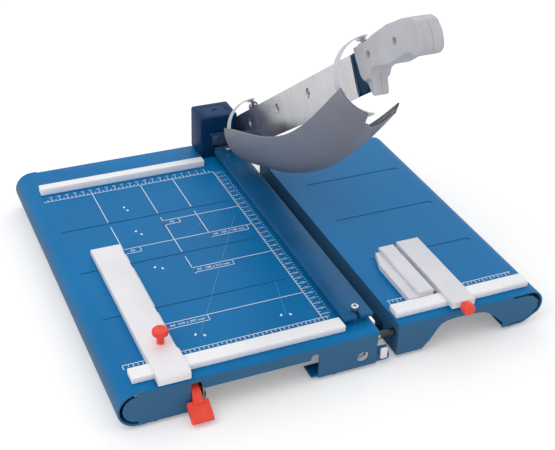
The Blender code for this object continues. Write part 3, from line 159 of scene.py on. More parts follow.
floor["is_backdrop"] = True

LAMPS = (("key_lamp", 12.0, 1.6, (-1.3, -0.6, 2.0)), ("rim_lamp", 5.0, 1.4, (1.1, 1.5, 1.6)))
for name, power, size, place in LAMPS:
    lamp = bpy.data.lights.new(name, "AREA")
    lamp.energy = power
    lamp.size = size
    holder = bpy.data.objects.new(name, lamp)
    facing_down = Vector(place).to_track_quat("Z", "Y").to_matrix().to_4x4()
    holder.matrix_world = Matrix.Translation(place) @ facing_down
    bpy.context.scene.collection.objects.link(holder)

# Main table and side table: mild steel sheet, cut, grooved and folded in a press, then powder
# coated. The coat gives a satin blue with fine pebbles, a little cloudy. Its paler edges are a painted
# highlight, and its greyer skirts a painted reflection of the white floor.


# Width and strength of the painted highlight along edges, and strength of the painted reflection on
# vertical faces.
EDGE_HIGHLIGHT_WIDTH = 0.6 * MM
EDGE_HIGHLIGHT_MOST = 0.7
UPRIGHT_REFLECTION_MOST = 0.75


def finish(name, tones, gloss, grain, depth, cloud=0.05, draw=(1, 1, 1), edge=None, metal=0.0,
           specular=0.5, upright_reflection_tone=None):
    """A finish with drifting tone and gloss, a fine grain, a painted highlight along its edges, and
    a painted reflection of the white floor on its vertical faces, which turns them greyer.

    Tones run from dark to light, gloss is the roughness from low to high, the grain's size, its
    depth and the cloud's size are in metres, and draw stretches the grain along an axis.
    """
    skin = bpy.data.materials.new(name)
    skin.use_nodes = True
    tree = skin.node_tree
    shader = tree.nodes["Principled BSDF"]
    place = add(tree, "TexCoord", {}).outputs["Object"]
    drawn = add(tree, "Mapping", {"Vector": place, "Scale": draw}).outputs["Vector"]
    clouds = add(tree, "TexNoise", {"Vector": place, "Scale": 1 / cloud, "Detail": 3.0}).outputs["Fac"]
    grains = add(tree, "TexNoise", {"Vector": drawn, "Scale": 1 / grain, "Detail": 2.0}).outputs["Fac"]
    spread = add(tree, "MapRange", {"Value": clouds, "From Min": 0.35, "From Max": 0.65})
    speck = add(tree, "MapRange", {"Value": grains, "From Min": 0.3, "From Max": 0.7})
    share = add(tree, "Mix", {0: 0.5, 2: spread.outputs[0], 3: speck.outputs[0]},
                data_type="FLOAT").outputs[0]
    tone = add(tree, "Mix", {0: share, 6: linear(tones[0]), 7: linear(tones[1])},
               data_type="RGBA").outputs[2]
    # Vertical faces are painted greyer: a painted reflection of the white floor at a glancing angle.
    if upright_reflection_tone:
        facing = add(tree, "NewGeometry", {}).outputs["Normal"]
        height = add(tree, "SeparateXYZ", {"Vector": facing}).outputs["Z"]
        side = add(tree, "MapRange", {"Value": height, "From Min": 0.75, "From Max": 0.2,
                                      "To Max": UPRIGHT_REFLECTION_MOST})
        tone = add(tree, "Mix", {0: side.outputs[0], 6: tone, 7: linear(upright_reflection_tone)},
                   data_type="RGBA").outputs[2]
    # Edges are painted paler: a painted highlight along them.
    if edge:
        rounded = add(tree, "Bevel", {"Radius": EDGE_HIGHLIGHT_WIDTH}, samples=4).outputs[0]
        straight = add(tree, "NewGeometry", {}).outputs["Normal"]
        turned = add(tree, "VectorMath", {0: rounded, 1: straight}, operation="DOT_PRODUCT")
        edge_highlight = add(tree, "MapRange", {"Value": turned.outputs["Value"], "From Min": 0.97, "From Max": 0.80,
                                      "To Max": EDGE_HIGHLIGHT_MOST})
        tone = add(tree, "Mix", {0: edge_highlight.outputs[0], 6: tone, 7: linear(edge)},
                   data_type="RGBA").outputs[2]
    rough = add(tree, "MapRange", {"Value": share, "To Min": gloss[0], "To Max": gloss[1]}).outputs[0]
    bump = add(tree, "Bump", {"Height": grains, "Distance": depth, "Strength": 1.0}).outputs[0]
    tree.links.new(tone, shader.inputs["Base Color"])
    tree.links.new(rough, shader.inputs["Roughness"])
    tree.links.new(bump, shader.inputs["Normal"])
    shader.inputs["Metallic"].default_value = metal
    shader.inputs["Specular IOR Level"].default_value = specular
    return skin


SEAM = 0.001 * MM
SHARP_ANGLE = math.radians(38)


def dress(skin, *names, round_off=0.3):
    """Give carried-over nodes a finish, and break their sharp edges by some tenths of a millimetre."""
    for name in names:
        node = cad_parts[name]
        for slot in node.material_slots:
            slot.material = skin
        normals = node.data.attributes.get("custom_normal")
        if normals:
            node.data.attributes.remove(normals)
        node.data.shade_smooth()
        weld = node.modifiers.new("weld", "WELD")
        weld.merge_threshold = SEAM
        bevel = node.modifiers.new("edge", "BEVEL")
        bevel.width = round_off * MM
        bevel.segments = 2
        bevel.limit_method = "ANGLE"
        bevel.angle_limit = SHARP_ANGLE
        bevel.harden_normals = True


# Pebbles of a baked powder coat are about 0.4 mm apart; they are drawn at 1.2 mm so that they show.
# Its edge colour is a painted highlight, and its colour for vertical faces a painted reflection of the
# white floor on the skirts.
powder_blue = finish("powder_coat_blue", ("006CA8", "0079B8"), (0.38, 0.50), 1.2 * MM, 0.02 * MM, 0.09,
                     edge="3C8CC0", specular=0.16, upright_reflection_tone="426683")
dress(powder_blue, "main_table", "side_table", "link_bracket")

# Printed scales: white ink, screened on the baked coat. Lines are about 0.5 mm wide; they are drawn
# a little wider, and the ink stands 0.05 mm proud, with a slightly uneven tone and gloss.
white_ink = finish("screen_ink_white", ("E8F0F6", "FFFFFF"), (0.45, 0.6), 0.8 * MM, 0.01 * MM)
faint_ink = finish("screen_ink_faint", ("3F86B6", "5B9CC6"), (0.45, 0.6), 0.8 * MM, 0.01 * MM)
INK = (-0.03, 0.05)
SOFT_ANGLE = math.radians(35)


def stroke(start, end, wide=0.8):
    """A thin bar of ink from point to point, as its outline."""
    along = (Vector(end) - Vector(start)).normalized() * wide / 2
    side = Vector((-along.y, along.x))
    start = Vector(start) - along
    end = Vector(end) + along
    return [start + side, start - side, end - side, end + side]


def drop(x, y, lean):
    """A small drop-shaped mark that points towards the rear fence."""
    radius, tip = 1.3, 3.2
    angles = [math.radians(step) for step in range(-210, 31, 24)]
    rim = [Vector((radius * math.cos(a), radius * math.sin(a))) for a in angles]
    turn = Matrix.Rotation(math.radians(lean), 2)
    return [Vector((x, y)) + turn @ point for point in rim + [Vector((0, tip))]]


def figures(words, size):
    """Outlines of printed figures as meshes, from (text, x, y) places of their middles."""
    holders = []
    for text, x, y in words:
        curve = bpy.data.curves.new("figure", "FONT")
        curve.body = text
        curve.size = size
        curve.align_x = "CENTER"
        curve.align_y = "CENTER"
        curve.resolution_u = 2
        curve.extrude = (INK[1] - INK[0]) / 2
        holder = bpy.data.objects.new("figure", curve)
        holder.location = (x, y, sum(INK) / 2)
        bpy.context.scene.collection.objects.link(holder)
        holders.append(holder)
    bpy.context.view_layer.update()
    depsgraph = bpy.context.evaluated_depsgraph_get()
    bm = bmesh.new()
    for holder in holders:
        mesh = bpy.data.meshes.new_from_object(holder.evaluated_get(depsgraph))
        mesh.transform(holder.matrix_world)
        bm.from_mesh(mesh)
        bpy.data.objects.remove(holder)
    return bm


def settle(name, bm, skin, body, place, replaced=()):
    """Make a piece from a bmesh in millimetres, put it in its place, and let it ride."""
    bmesh.ops.recalc_face_normals(bm, faces=bm.faces)
    mesh = bpy.data.meshes.new(name)
    bm.to_mesh(mesh)
    bm.free()
    mesh.transform(Matrix.Scale(MM, 4))
    mesh.materials.append(skin)
    mesh.shade_smooth()
    mesh.set_sharp_from_angle(angle=SOFT_ANGLE)
    piece = bpy.data.objects.new(name, mesh)
    bpy.context.scene.collection.objects.link(piece)
    piece.matrix_world = place
    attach(piece, body)
    if replaced:
        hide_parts(*replaced)
    return piece


def slab(bm, outline, low, high, plane="XY"):
    """Add a flat plate with the outline's shape, between two heights across its plane."""
    ways = {"XY": lambda u, v, w: (u, v, w), "XZ": lambda u, v, w: (u, w, v),
            "YZ": lambda u, v, w: (w, u, v)}
    rings = [[bm.verts.new(ways[plane](point[0], point[1], level)) for point in outline]
             for level in (low, high)]
    for ring in rings:
        bm.faces.new(ring)
    for index in range(len(outline)):
        after = (index + 1) % len(outline)
        bm.faces.new((rings[0][index], rings[0][after], rings[1][after], rings[1][index]))
    return rings


def ink(name, outlines, words, size, skin):
    """Print outlines and figures on a table top."""
    bm = figures(words, size)
    for outline in outlines:
        slab(bm, outline, *INK)
    settle(name, bm, skin, "base", machine)


GROOVES = (-89.0, -178.0, -267.0)
SCALE_REAR, SCALE_FRONT, SCALE_LEFT, SCALE_RIGHT = -15.5, -345.5, -271.0, -50.0
RULER = -37.6
LABEL_HIGH = 9.5
THIN = 0.7
DIGITS = 4.6
LONG_TICK, SHORT_TICK = 5.5, 3.5
BEFORE_GROOVE, AFTER_GROOVE = 3.5, 8
lines = [stroke((-270, SCALE_REAR), (SCALE_RIGHT, SCALE_REAR)),
         stroke((SCALE_LEFT, SCALE_FRONT), (-42, SCALE_FRONT)),
         stroke((SCALE_LEFT, SCALE_FRONT), (SCALE_LEFT, -352)),
         stroke((SCALE_RIGHT, SCALE_REAR), (SCALE_RIGHT, SCALE_FRONT))]
for x, end in ((-210, -297), (-148, -221), (-105, -158)):
    top = SCALE_REAR
    for groove in (*[y for y in GROOVES if y > end], end):
        stop = groove + BEFORE_GROOVE if groove in GROOVES else groove
        lines.append(stroke((x, top), (x, stop)))
        top = groove - AFTER_GROOVE
for x, y in ((-148, -105), (-210, -148), (-148, -210), (-210, -297)):
    lines.append(stroke((x, y), (SCALE_RIGHT, y)))
LABELS = (("A6", -148, -128.5, -105), ("A5", -210, -190.5, -148), ("A6  105 x 148 mm", -105, -57.5, -148),
          ("A5  148 x 210 mm", -148, -100.5, -210), ("A4  210 x 297 mm", -210, -162.5, -297))
labels = []
for text, left, end, y in LABELS:
    low = y - LABEL_HIGH
    lines += [stroke((left, low), (end, low), THIN), stroke((end, y), (end, low), THIN),
              stroke((left, y), (left, low), THIN)]
    labels.append((text, (left + end) / 2, y - 5.0))
for step in range(45, 270, 5):
    for line, way in ((SCALE_REAR, 1), (SCALE_FRONT, -1)):
        tick = LONG_TICK if step % 10 == 0 else SHORT_TICK
        if line == SCALE_FRONT or step >= 55:
            lines.append(stroke((-step, line), (-step, line + way * tick), THIN))
for step in range(20, 345, 5):
    tens = step % 10 == 0
    lines.append(stroke((SCALE_RIGHT, -step), (SCALE_RIGHT + (4.5 if tens else 2.5), -step), THIN))
    lines.append(stroke((RULER, -step), (RULER - (2.2 if tens else 1.2), -step), 0.6))
DROPS = ((-182.6, -59.9), (-180.2, -67.8), (-185.0, -116.0), (-180.2, -124.4), (-187.1, -194.4),
         (-179.2, -199.4), (-185.8, -325.1), (-176.9, -329.6), (-89.3, -326.5), (-79.0, -328.6))
DROP_LEAN = 25
for index, (x, y) in enumerate(DROPS):
    lines.append(drop(x, y, DROP_LEAN if index % 2 else -DROP_LEAN))
numbers = [(str(step // 10), -step, SCALE_REAR + 9.0) for step in range(60, 270, 10)]
numbers += [(str(step // 10), -step, SCALE_FRONT - 9.2) for step in range(50, 270, 10)]
numbers += [(str(step // 10), -42.6, -step) for step in range(20, 350, 10)]
ink("table_scales", lines, numbers, DIGITS, white_ink)
ink("table_labels", [], labels, 5.2, white_ink)
ANGLES = (((-63, -124), (-180, -325)), ((-71, -268), (-84, -327)), ((-106, -124), (-129, -143)))
ink("table_angles", [stroke(start, end, 0.5) for start, end in ANGLES], [], DIGITS, faint_ink)
SIDE_SCALE = -344.6
lines = [stroke((29, SIDE_SCALE), (187, SIDE_SCALE))]
for step in range(30, 190, 5):
    tick = LONG_TICK if step % 10 == 0 else SHORT_TICK
    lines.append(stroke((step, SIDE_SCALE), (step, SIDE_SCALE - tick), THIN))
numbers = [(str(step // 10), step, SIDE_SCALE - 9.0) for step in range(30, 190, 10)]
ink("side_scale", lines, numbers, DIGITS, white_ink)

# Feet: moulded rubber buttons, pushed into the lips of the skirts. Black and dull, with dust in
# their pores, so that they never look quite black.
rubber = finish("foot_rubber", ("101011", "232325"), (0.75, 0.9), 1.0 * MM, 0.05 * MM, 0.01, specular=0.3)
dress(rubber, "foot_front_left", "foot_front_right", "foot_rear_left", "foot_rear_right", "side_foot_front",
      "side_foot_rear", "suction_cup")

# Fences: bars of hard plastic, extruded and sawn to length, screwed on from below. Nearly white,
# with faint draw lines along the bar.
fence_plastic = finish("fence_abs", ("F5F5FA", "FFFFFF"), (0.42, 0.55), 1.5 * MM, 0.02 * MM, 0.06,
                       draw=(0.05, 1, 1))
dress(fence_plastic, "rear_fence", "front_fence", "side_fence", round_off=0.5)

# Tower: a cast housing over the pivot, enamelled in a deeper blue than the tables, with an inlaid
# cap. The ledge on its front is the rest for the clamp bar's tongue; a thin zinc strip along it is a
# painted highlight on the ledge's edge.
# The paler edge colours of the tower and its cap are painted highlights.
tower_enamel = finish("tower_enamel", ("042C50", "08375E"), (0.38, 0.5), 1.4 * MM, 0.03 * MM, 0.05,
                      edge="3A7FB0", specular=0.12)
cap_enamel = finish("cap_enamel", ("07365E", "0D426E"), (0.4, 0.5), 1.2 * MM, 0.02 * MM, 0.03,
                    edge="3A76A4", specular=0.12)
dress(tower_enamel, "tower_housing", round_off=0.4)
dress(cap_enamel, "tower_cap", round_off=0.25)
zinc = finish("zinc_plate", ("A9AAAE", "D2D3D6"), (0.22, 0.38), 0.8 * MM, 0.01 * MM, 0.01, metal=1.0)
# A thin zinc strip on the tower's front: a painted highlight along the ledge's edge.
bm = bmesh.new()
LEDGE_LEFT, LEDGE_RIGHT, LEDGE_LOW, LEDGE_HIGH = -40.8, -16.7, 33.7, 35.0
slab(bm, [(LEDGE_LEFT, LEDGE_LOW), (LEDGE_RIGHT, LEDGE_LOW), (LEDGE_RIGHT, LEDGE_HIGH),
          (LEDGE_LEFT, LEDGE_HIGH)], 18.85, 19.1, "XZ")
settle("tower_ledge_highlight_strip", bm, zinc, "base", machine)
dress(zinc, "pivot_block", "pivot_bolt", "pivot_bush", "pivot_washer", "pivot_nut", "beam_bolt",
      "lever_pin", "cup_stem", "suction_bracket", "link_rod", "link_collar", "guard_pin_rear",
      "guard_pin_front", round_off=0.25)

# Knife beam and gap tray: folded and machined steel under the table's edge, sprayed dark blue. The
# tray's dark tone is also painted shade, for the shadow down in the gap between the tables. The lower
# knife on the beam is ground tool steel, with fine grinding lines across its face.
# Dark blue enamel; on the gap tray it is also painted shade of the gap.
beam_enamel_and_gap_shade = finish("beam_enamel_and_gap_shade", ("062B49", "0C3A5E"), (0.4, 0.55), 1.2 * MM, 0.03 * MM, 0.05,
                     specular=0.3)
dress(beam_enamel_and_gap_shade, "knife_beam", "gap_tray")
ground_steel = finish("ground_steel", ("D0CFD2", "EEEDEF"), (0.24, 0.36), 0.5 * MM, 0.015 * MM, 0.03,
                      draw=(1, 1, 0.06), metal=1.0)
dress(ground_steel, "lower_knife", round_off=0.15)

# Clamp bar: a flat steel bar, enamelled blue, that springs lift and the closing blade presses down.
# Its two bolts have round heads with a socket, and the springs are wound from bright wire.
# Its paler edge colour is a painted highlight.
clamp_enamel = finish("clamp_enamel", ("044E7C", "0A5E92"), (0.36, 0.48), 1.2 * MM, 0.02 * MM, 0.07,
                      edge="4A96C4", specular=0.28)
dress(clamp_enamel, "clamp_bar", round_off=0.4)


def lathe(bm, profile, steps=40, at=(0, 0, 0), turn=Matrix.Identity(4)):
    """Add a closed body turned about an axis, from (radius, height) pairs that start and end on it."""
    rings = []
    place = Matrix.Translation(at) @ turn
    for radius, height in profile:
        count = steps if radius else 1
        rings.append([bm.verts.new(place @ Vector((radius * math.cos(2 * math.pi * k / steps),
                                                   radius * math.sin(2 * math.pi * k / steps), height)))
                      for k in range(count)])
    for below, above in zip(rings, rings[1:]):
        for k in range(steps):
            corners = [below[k % len(below)], below[(k + 1) % steps % len(below)],
                       above[(k + 1) % steps % len(above)], above[k % len(above)]]
            bm.faces.new(list(dict.fromkeys(corners)))


def socket(profile_top, radius, depth, across):
    """The (radius, height) pairs of a screw's top with a drilled socket in it."""
    return [(radius, profile_top - 0.5), (radius - 0.5, profile_top), (across, profile_top),
            (across * 0.92, profile_top - depth), (0, profile_top - depth)]


spring_steel = finish("spring_wire", ("9A9BA0", "C9CACE"), (0.2, 0.35), 0.6 * MM, 0.01 * MM, 0.01,
                      metal=1.0)
CLAMP_BOLTS = (("front", -359.0), ("rear", 10.0))
CLAMP_BOLT_X = -19.0
for end, y in CLAMP_BOLTS:
    at = machine @ Matrix.Translation((CLAMP_BOLT_X * MM, y * MM, 0))
    bm = bmesh.new()
    lathe(bm, [(0, -20), (2.0, -20), (2.0, 12.5), (3.9, 12.5), (4.2, 12.9)] + socket(17.0, 4.2, 2.2, 1.9))
    settle(f"clamp_bolt_{end}_turned", bm, zinc, "base", at, [f"clamp_bolt_{end}"])
    bm = bmesh.new()
    turns, per_turn, around = 6, 24, 8
    low, high, wire, radius = -12.2, 5.7, 0.5, 3.3
    rings = []
    for step in range(turns * per_turn + 1):
        share = step / (turns * per_turn)
        angle = 2 * math.pi * step / per_turn
        rise = Vector((0, 0, low + wire + (high - low - 2 * wire) * share))
        out = Vector((math.cos(angle), math.sin(angle), 0))
        ring = []
        for k in range(around):
            a = 2 * math.pi * k / around
            off = wire * (math.cos(a) * out + Vector((0, 0, math.sin(a))))
            ring.append(bm.verts.new(radius * out + off + rise))
        rings.append(ring)
    for first, second in zip(rings, rings[1:]):
        for k in range(around):
            bm.faces.new((first[k], first[(k + 1) % around], second[(k + 1) % around], second[k]))
    bm.faces.new(rings[0])
    bm.faces.new(rings[-1])
    coil = settle(f"clamp_spring_{end}_wound", bm, spring_steel, "base", at,
                  [f"clamp_spring_{end}"])
    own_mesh(coil)

# Link between the tables: a plated rod with a bright collar, a sleeve of black-oxide steel, and a
# blue tab that holds the side table's moulded latch button.
black_oxide = finish("black_oxide", ("3A3B3E", "55565A"), (0.3, 0.45), 0.8 * MM, 0.02 * MM, 0.01, metal=1.0)
dress(black_oxide, "link_sleeve", "guard_bracket_rear", "guard_bracket_front", round_off=0.25)
gauge_plastic = finish("gauge_abs", ("EBEAF0", "F8F7FB"), (0.4, 0.52), 1.0 * MM, 0.03 * MM, 0.05)
dress(gauge_plastic, "latch_button", round_off=0.2)

# Suction lever: glass-filled plastic, moulded in signal red, with ridges for the thumb. Its cup
# holds the cutter to the desk.
# Its paler edge colour is a painted highlight.
red_plastic = finish("red_acetal", ("EE3B28", "FF5A44"), (0.3, 0.42), 1.0 * MM, 0.02 * MM, 0.02,
                     edge="F58474", specular=0.35)
dress(red_plastic, "suction_lever", round_off=0.3)

# Blade arm: a flat steel bar, enamelled dark blue, that carries the blade on its left face and ends
# in a tang inside the handle.
# Its paler edge colour is a painted highlight.
arm_enamel = finish("arm_enamel", ("003456", "064168"), (0.38, 0.5), 1.2 * MM, 0.02 * MM, 0.05,
                    edge="2E78AC", specular=0.1)
dress(arm_enamel, "blade_arm", round_off=0.2)
PIVOT = (0, 42 * MM, 18 * MM)
RAISED = math.radians(-35.5)
blade = machine @ Matrix.Translation(PIVOT) @ Matrix.Rotation(RAISED, 4, "X")

# Blade: tool steel, hardened and ground flat on its left face, with a bevel ground on the right one
# up to the edge. Three screws hold it, each with its head a little below the face in a round seat.
START, END, SPINE, EDGE, BEVEL = 37.0, 397.0, 19.0, -27.0, 5.5
seats = ((75.9, 3.0), (175.6, 3.0), (274.4, 3.0))
LOCATING_PIN = (0, -367.6, -15.7)
LEFT_FACE, RIGHT_FACE = 0.3, 3.3
across = Matrix.Rotation(math.pi / 2, 4, "Y")
bm = bmesh.new()
outline = [(-END, SPINE), (-START, SPINE)]
for step in range(25):
    share = step / 24
    outline.append((-START - (END - START) * share, EDGE + 2.0 * (2 * share - 1) ** 2))
rings = slab(bm, outline, LEFT_FACE, RIGHT_FACE, "YZ")
for vert in rings[1][2:]:
    vert.co.z += BEVEL
steel = settle("blade_ground", bm, ground_steel, "blade", blade, ["cutting_blade"])
bm = bmesh.new()
for a, z in seats:
    lathe(bm, [(0, -1), (5.8, -1), (5.8, 4.5), (0, 4.5)], 32, (0, -a, z), across)
lathe(bm, [(0, -1), (1.6, -1), (1.6, 4.5), (0, 4.5)], 16, LOCATING_PIN, across)


def carve(piece, bm, place):
    """Cut the shapes in a bmesh, in millimetres, out of a piece for good."""
    bmesh.ops.recalc_face_normals(bm, faces=bm.faces)
    mesh = bpy.data.meshes.new("carver")
    bm.to_mesh(mesh)
    bm.free()
    mesh.transform(Matrix.Scale(MM, 4))
    carver = bpy.data.objects.new("carver", mesh)
    bpy.context.scene.collection.objects.link(carver)
    carver.matrix_world = place
    boolean = piece.modifiers.new("carve", "BOOLEAN")
    boolean.object = carver
    boolean.solver = "EXACT"
    bpy.context.view_layer.update()
    cut = bpy.data.meshes.new_from_object(piece.evaluated_get(bpy.context.evaluated_depsgraph_get()))
    piece.modifiers.clear()
    piece.data = cut
    cut.shade_smooth()
    cut.set_sharp_from_angle(angle=SOFT_ANGLE)
    bpy.data.objects.remove(carver)


carve(steel, bm, blade)
bevel = steel.modifiers.new("edge", "BEVEL")
bevel.width = 0.2 * MM
bevel.segments = 1
bevel.limit_method = "ANGLE"
bevel.angle_limit = math.radians(40)
outward = Matrix.Rotation(-math.pi / 2, 4, "Y")
for end, (a, z) in zip(("rear", "middle", "front"), seats):
    bm = bmesh.new()
    profile = [(0, -8.5), (2.5, -8.5), (2.5, -3.2), (5.2, -3.1)] + socket(-1.3, 5.3, 1.6, 2.4)
    lathe(bm, profile, 36, (0, 0, 0), outward)
    settle(f"blade_screw_{end}_head", bm, zinc, "blade",
           blade @ Matrix.Translation((0, -a * MM, z * MM)), [f"blade_screw_{end}"])

# Handle: two half shells of glass-filled nylon, moulded with generous rounds and a fine texture, and
# screwed together over the tang. A thin seam shows round the butt and the finger guard.
handle_plastic = finish("handle_nylon", ("B4B4BA", "C6C6CC"), (0.42, 0.55), 1.0 * MM, 0.04 * MM, 0.03)
HANDLE_AT, HANDLE_LONG, HANDLE_DEEP, HANDLE_LOW = 419.0, 136.0, 57.5, -30.5
HANDLE_MIDDLE, HANDLE_HALF = 6.1, 12.0
grip = [
    (0.000, 0.913), (0.007, 0.687), (0.035, 0.375), (0.072, 0.200), (0.092, 0.080), (0.112, 0.010),
    (0.142, 0.000), (0.160, 0.130), (0.178, 0.322), (0.210, 0.400), (0.272, 0.435),
    (0.368, 0.409), (0.500, 0.365), (0.632, 0.374), (0.757, 0.417), (0.824, 0.391), (0.860, 0.305),
    (0.926, 0.270), (0.978, 0.340), (1.000, 0.478), (1.000, 0.635), (0.971, 0.809), (0.912, 0.913),
    (0.779, 0.965), (0.559, 1.000), (0.338, 0.965), (0.176, 0.913),
]
outline = [(-HANDLE_AT - u * HANDLE_LONG, HANDLE_LOW + v * HANDLE_DEEP) for u, v in grip]
screws = ((449.5, 8.75), (506.5, 8.75))
STEP_HEIGHT, PRONG_HALF = -14.0, 8.2
SEAM_HALF = 0.15
for side, name in ((-1, "left"), (1, "right")):
    bm = bmesh.new()
    upper = [(y, max(z, STEP_HEIGHT)) for y, z in outline]
    slab(bm, upper, HANDLE_MIDDLE - HANDLE_HALF, HANDLE_MIDDLE + HANDLE_HALF, "YZ")
    slab(bm, outline[1:12], HANDLE_MIDDLE - PRONG_HALF, HANDLE_MIDDLE + PRONG_HALF, "YZ")
    bm.transform(Matrix.Scale(1 / MM, 4) @ blade @ Matrix.Scale(MM, 4))
    shell = settle(f"handle_{name}_shell", bm, handle_plastic, "blade", Matrix.Identity(4),
                   [f"handle_{name}"])
    remesh = shell.modifiers.new("remesh", "REMESH")
    remesh.mode = "VOXEL"
    remesh.voxel_size = 1.0 * MM
    remesh.use_smooth_shade = True
    smooth = shell.modifiers.new("smooth", "SMOOTH")
    smooth.factor = 0.6
    smooth.iterations = 14
    bm = bmesh.new()
    other_half = sorted((HANDLE_MIDDLE + side * SEAM_HALF, HANDLE_MIDDLE - side * 30.0))
    slab(bm, [(-400, -60), (-400, 60), (-580, 60), (-580, -60)], *other_half, "YZ")
    if side < 0:
        for a, z in screws:
            lathe(bm, [(0, -9), (4.2, -9), (3.8, -1.8), (0, -1.8)], 28, (0, -a, z), across)
    carve(shell, bm, blade)
for end, (a, z) in zip(("near", "far"), screws):
    bm = bmesh.new()
    profile = [(0, -13), (2.0, -13), (2.0, 1.2), (3.6, 1.3)] + socket(3.0, 3.6, 1.2, 1.7)
    lathe(bm, profile, 28, (0, 0, 0), outward)
    settle(f"handle_screw_{end}_head", bm, zinc, "blade",
           blade @ Matrix.Translation((0, -a * MM, z * MM)), [f"handle_screw_{end}"])

# Guard: a shield of tinted polycarbonate, moulded into a scoop and sprayed a satin grey outside. It
# hangs from two hoops of spring steel, lacquered pale grey, and small rivets join them. The shield's
# hollow side, the faces that turn towards the hoops' axis, is drawn a dark slate grey.
HINGE = Vector((12, 0, 25))
guard = blade @ Matrix.Translation(HINGE * MM)
# Its near-white edge colour is a painted highlight.
hoop_lacquer = finish("hoop_lacquer", ("C4C5CC", "D8D9DF"), (0.3, 0.42), 1.0 * MM, 0.01 * MM, 0.03,
                      edge="F4F4F6")
dress(hoop_lacquer, "guard_hoop_rear", "guard_hoop_front", round_off=0.2)
# Its pale edge colour is a painted highlight along the rim.
shield_plastic = finish("shield_polycarbonate", ("828188", "8F8E97"), (0.34, 0.46), 1.2 * MM, 0.02 * MM,
                        0.08, edge="D6D7DC")
HOOPS_X, HOOPS_Z = -5, -33
# The faces that turn towards the hoops' axis, the hollow side, are drawn a dark slate grey.
tree = shield_plastic.node_tree
shader = tree.nodes["Principled BSDF"]
place = add(tree, "TexCoord", {})
away = add(tree, "VectorMath", {0: place.outputs["Object"], 1: (HOOPS_X * MM, 0, HOOPS_Z * MM)},
           operation="SUBTRACT")
away = add(tree, "VectorMath", {0: away.outputs[0], 1: (1, 0, 1)}, operation="MULTIPLY")
facing = add(tree, "VectorMath", {0: away.outputs[0], 1: place.outputs["Normal"]},
             operation="DOT_PRODUCT")
within = add(tree, "Math", {0: facing.outputs["Value"], 1: 0.0}, operation="LESS_THAN")
tone = add(tree, "Mix", {0: within.outputs[0], 6: shader.inputs["Base Color"].links[0].from_socket,
                         7: linear("34404A")}, data_type="RGBA")
tree.links.new(tone.outputs[2], shader.inputs["Base Color"])
REACH = ((-62, 0.922), (-45, 0.925), (-30, 0.955), (-18, 0.972), (-7, 0.942), (3, 0.930), (16, 0.943),
         (24, 1.0))


def reach(angle):
    """How far the shield's front edge reaches at an angle round the blade, as a share."""
    for (low, first), (high, second) in zip(REACH, REACH[1:]):
        if angle <= high:
            share = max(0.0, (angle - low) / (high - low))
            share = share * share * (3 - 2 * share)
            return first + (second - first) * share
    return 1.0


rows, columns = 72, 90
RIM_REAR, RIM_FRONT, RIM_SAG = 104, 78, 20
FAR_RIM_REAR, FAR_RIM_FRONT = -62, -54
INNER, SPREAD, BULGE, SAG = 40.3, 1.6, 26, 6
SHIELD_START, SHIELD_LENGTH = 68, 363
bm = bmesh.new()
grid = []
for row in range(rows + 1):
    line = []
    for column in range(columns + 1):
        along, around = row / rows, column / columns
        left = RIM_REAR + (RIM_FRONT - RIM_REAR) * along - RIM_SAG * math.sin(math.pi * along)
        start = FAR_RIM_REAR + (FAR_RIM_FRONT - FAR_RIM_REAR) * along
        degrees = start + (left - start) * around
        along *= reach(degrees)
        swell = math.sin(math.pi * along)
        angle = math.radians(degrees)
        x = HOOPS_X - (INNER + SPREAD * swell) * math.sin(angle)
        z = HOOPS_Z - SAG * swell - (INNER + BULGE * swell) * math.cos(angle)
        line.append(bm.verts.new((x, -SHIELD_START - SHIELD_LENGTH * along, z)))
    grid.append(line)
for first, second in zip(grid, grid[1:]):
    for a, b, c, d in zip(first, first[1:], second[1:], second):
        bm.faces.new((a, b, c, d))
shield = settle("shield_moulded", bm, shield_plastic, "guard", guard, ["guard_shield"])
thick = shield.modifiers.new("wall", "SOLIDIFY")
thick.thickness = 1.8 * MM
thick.offset = 1
bevel = shield.modifiers.new("lip", "BEVEL")
bevel.width = 0.5 * MM
bevel.segments = 3
bevel.limit_method = "ANGLE"
bevel.angle_limit = math.radians(50)
bm = bmesh.new()
FRONT_HOOP, REAR_HOOP, HOOP_RADIUS = 423.5, 79.5, 40.0
RIVET = [(0, -2.2), (1.2, -2.2), (1.2, 0.1), (2.4, 0.1), (2.3, 0.9), (1.5, 1.5), (0, 1.7)]
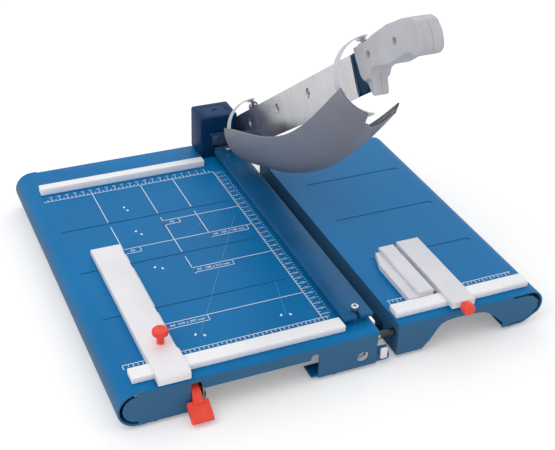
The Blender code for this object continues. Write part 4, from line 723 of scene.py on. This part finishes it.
for a, degrees in ((FRONT_HOOP, 68.0), (FRONT_HOOP, 18.0), (REAR_HOOP, 94.0), (REAR_HOOP, 66.0)):
    angle = math.radians(degrees)
    out = Vector((-math.sin(angle), 0, -math.cos(angle)))
    turn = Vector((0, 0, 1)).rotation_difference(out).to_matrix().to_4x4()
    lathe(bm, RIVET, 20, Vector((HOOPS_X, -a, HOOPS_Z)) + HOOP_RADIUS * out, turn)
settle("guard_rivets", bm, zinc, "guard", guard)

# Back gauge: a moulded arm that slides along the front fence and steps up over it. A red knob on a
# threaded stud clamps it.
dress(gauge_plastic, "back_gauge_arm", round_off=0.6)
GAUGE_KNOB = [(0, 0.8), (2.8, 0.8), (2.8, 9.4), (4.0, 9.4), (4.0, 18.6), (7.6, 20.5), (8.3, 20.7),
              (8.5, 21.3), (8.5, 24.2), (8.2, 25.3), (7.4, 26.0), (6.0, 26.3), (5.2, 26.1), (0, 25.8)]
STRIP_KNOB = [(0, -8.5), (2.2, -8.5), (2.2, 0.3), (3.5, 0.3), (3.5, 2.8), (6.4, 4.0), (6.8, 4.2),
              (7.0, 4.8), (7.0, 11.2), (6.7, 12.4), (6.0, 13.1), (5.0, 13.4), (4.4, 13.2), (0, 13.0)]
towards_front = Matrix.Rotation(math.pi / 2, 4, "X")
for node, body, at, turn, profile in (
        ("gauge_knob", "back_gauge_screw", (-227.0, -335.0, 0.0), Matrix.Identity(4), GAUGE_KNOB),
        ("strip_knob", "strip_gauge_screw", (99.0, -388.5, 8.3), towards_front, STRIP_KNOB)):
    bm = bmesh.new()
    lathe(bm, profile, 56, (0, 0, 0), turn)
    settle(f"{node}_moulded", bm, red_plastic, body,
           machine @ Matrix.Translation(Vector(at) * MM), [node])

# Strip gauge on the side table: an extruded bar over the side fence, with two sliding stops that
# set the width of narrow strips.
strip_plastic = finish("strip_abs", ("DCDDE5", "ECECF1"), (0.42, 0.55), 1.2 * MM, 0.02 * MM, 0.05,
                       draw=(1, 0.06, 1))
dress(strip_plastic, "strip_gauge", "strip_stop_lower", "strip_stop_upper", round_off=0.3)

low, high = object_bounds()
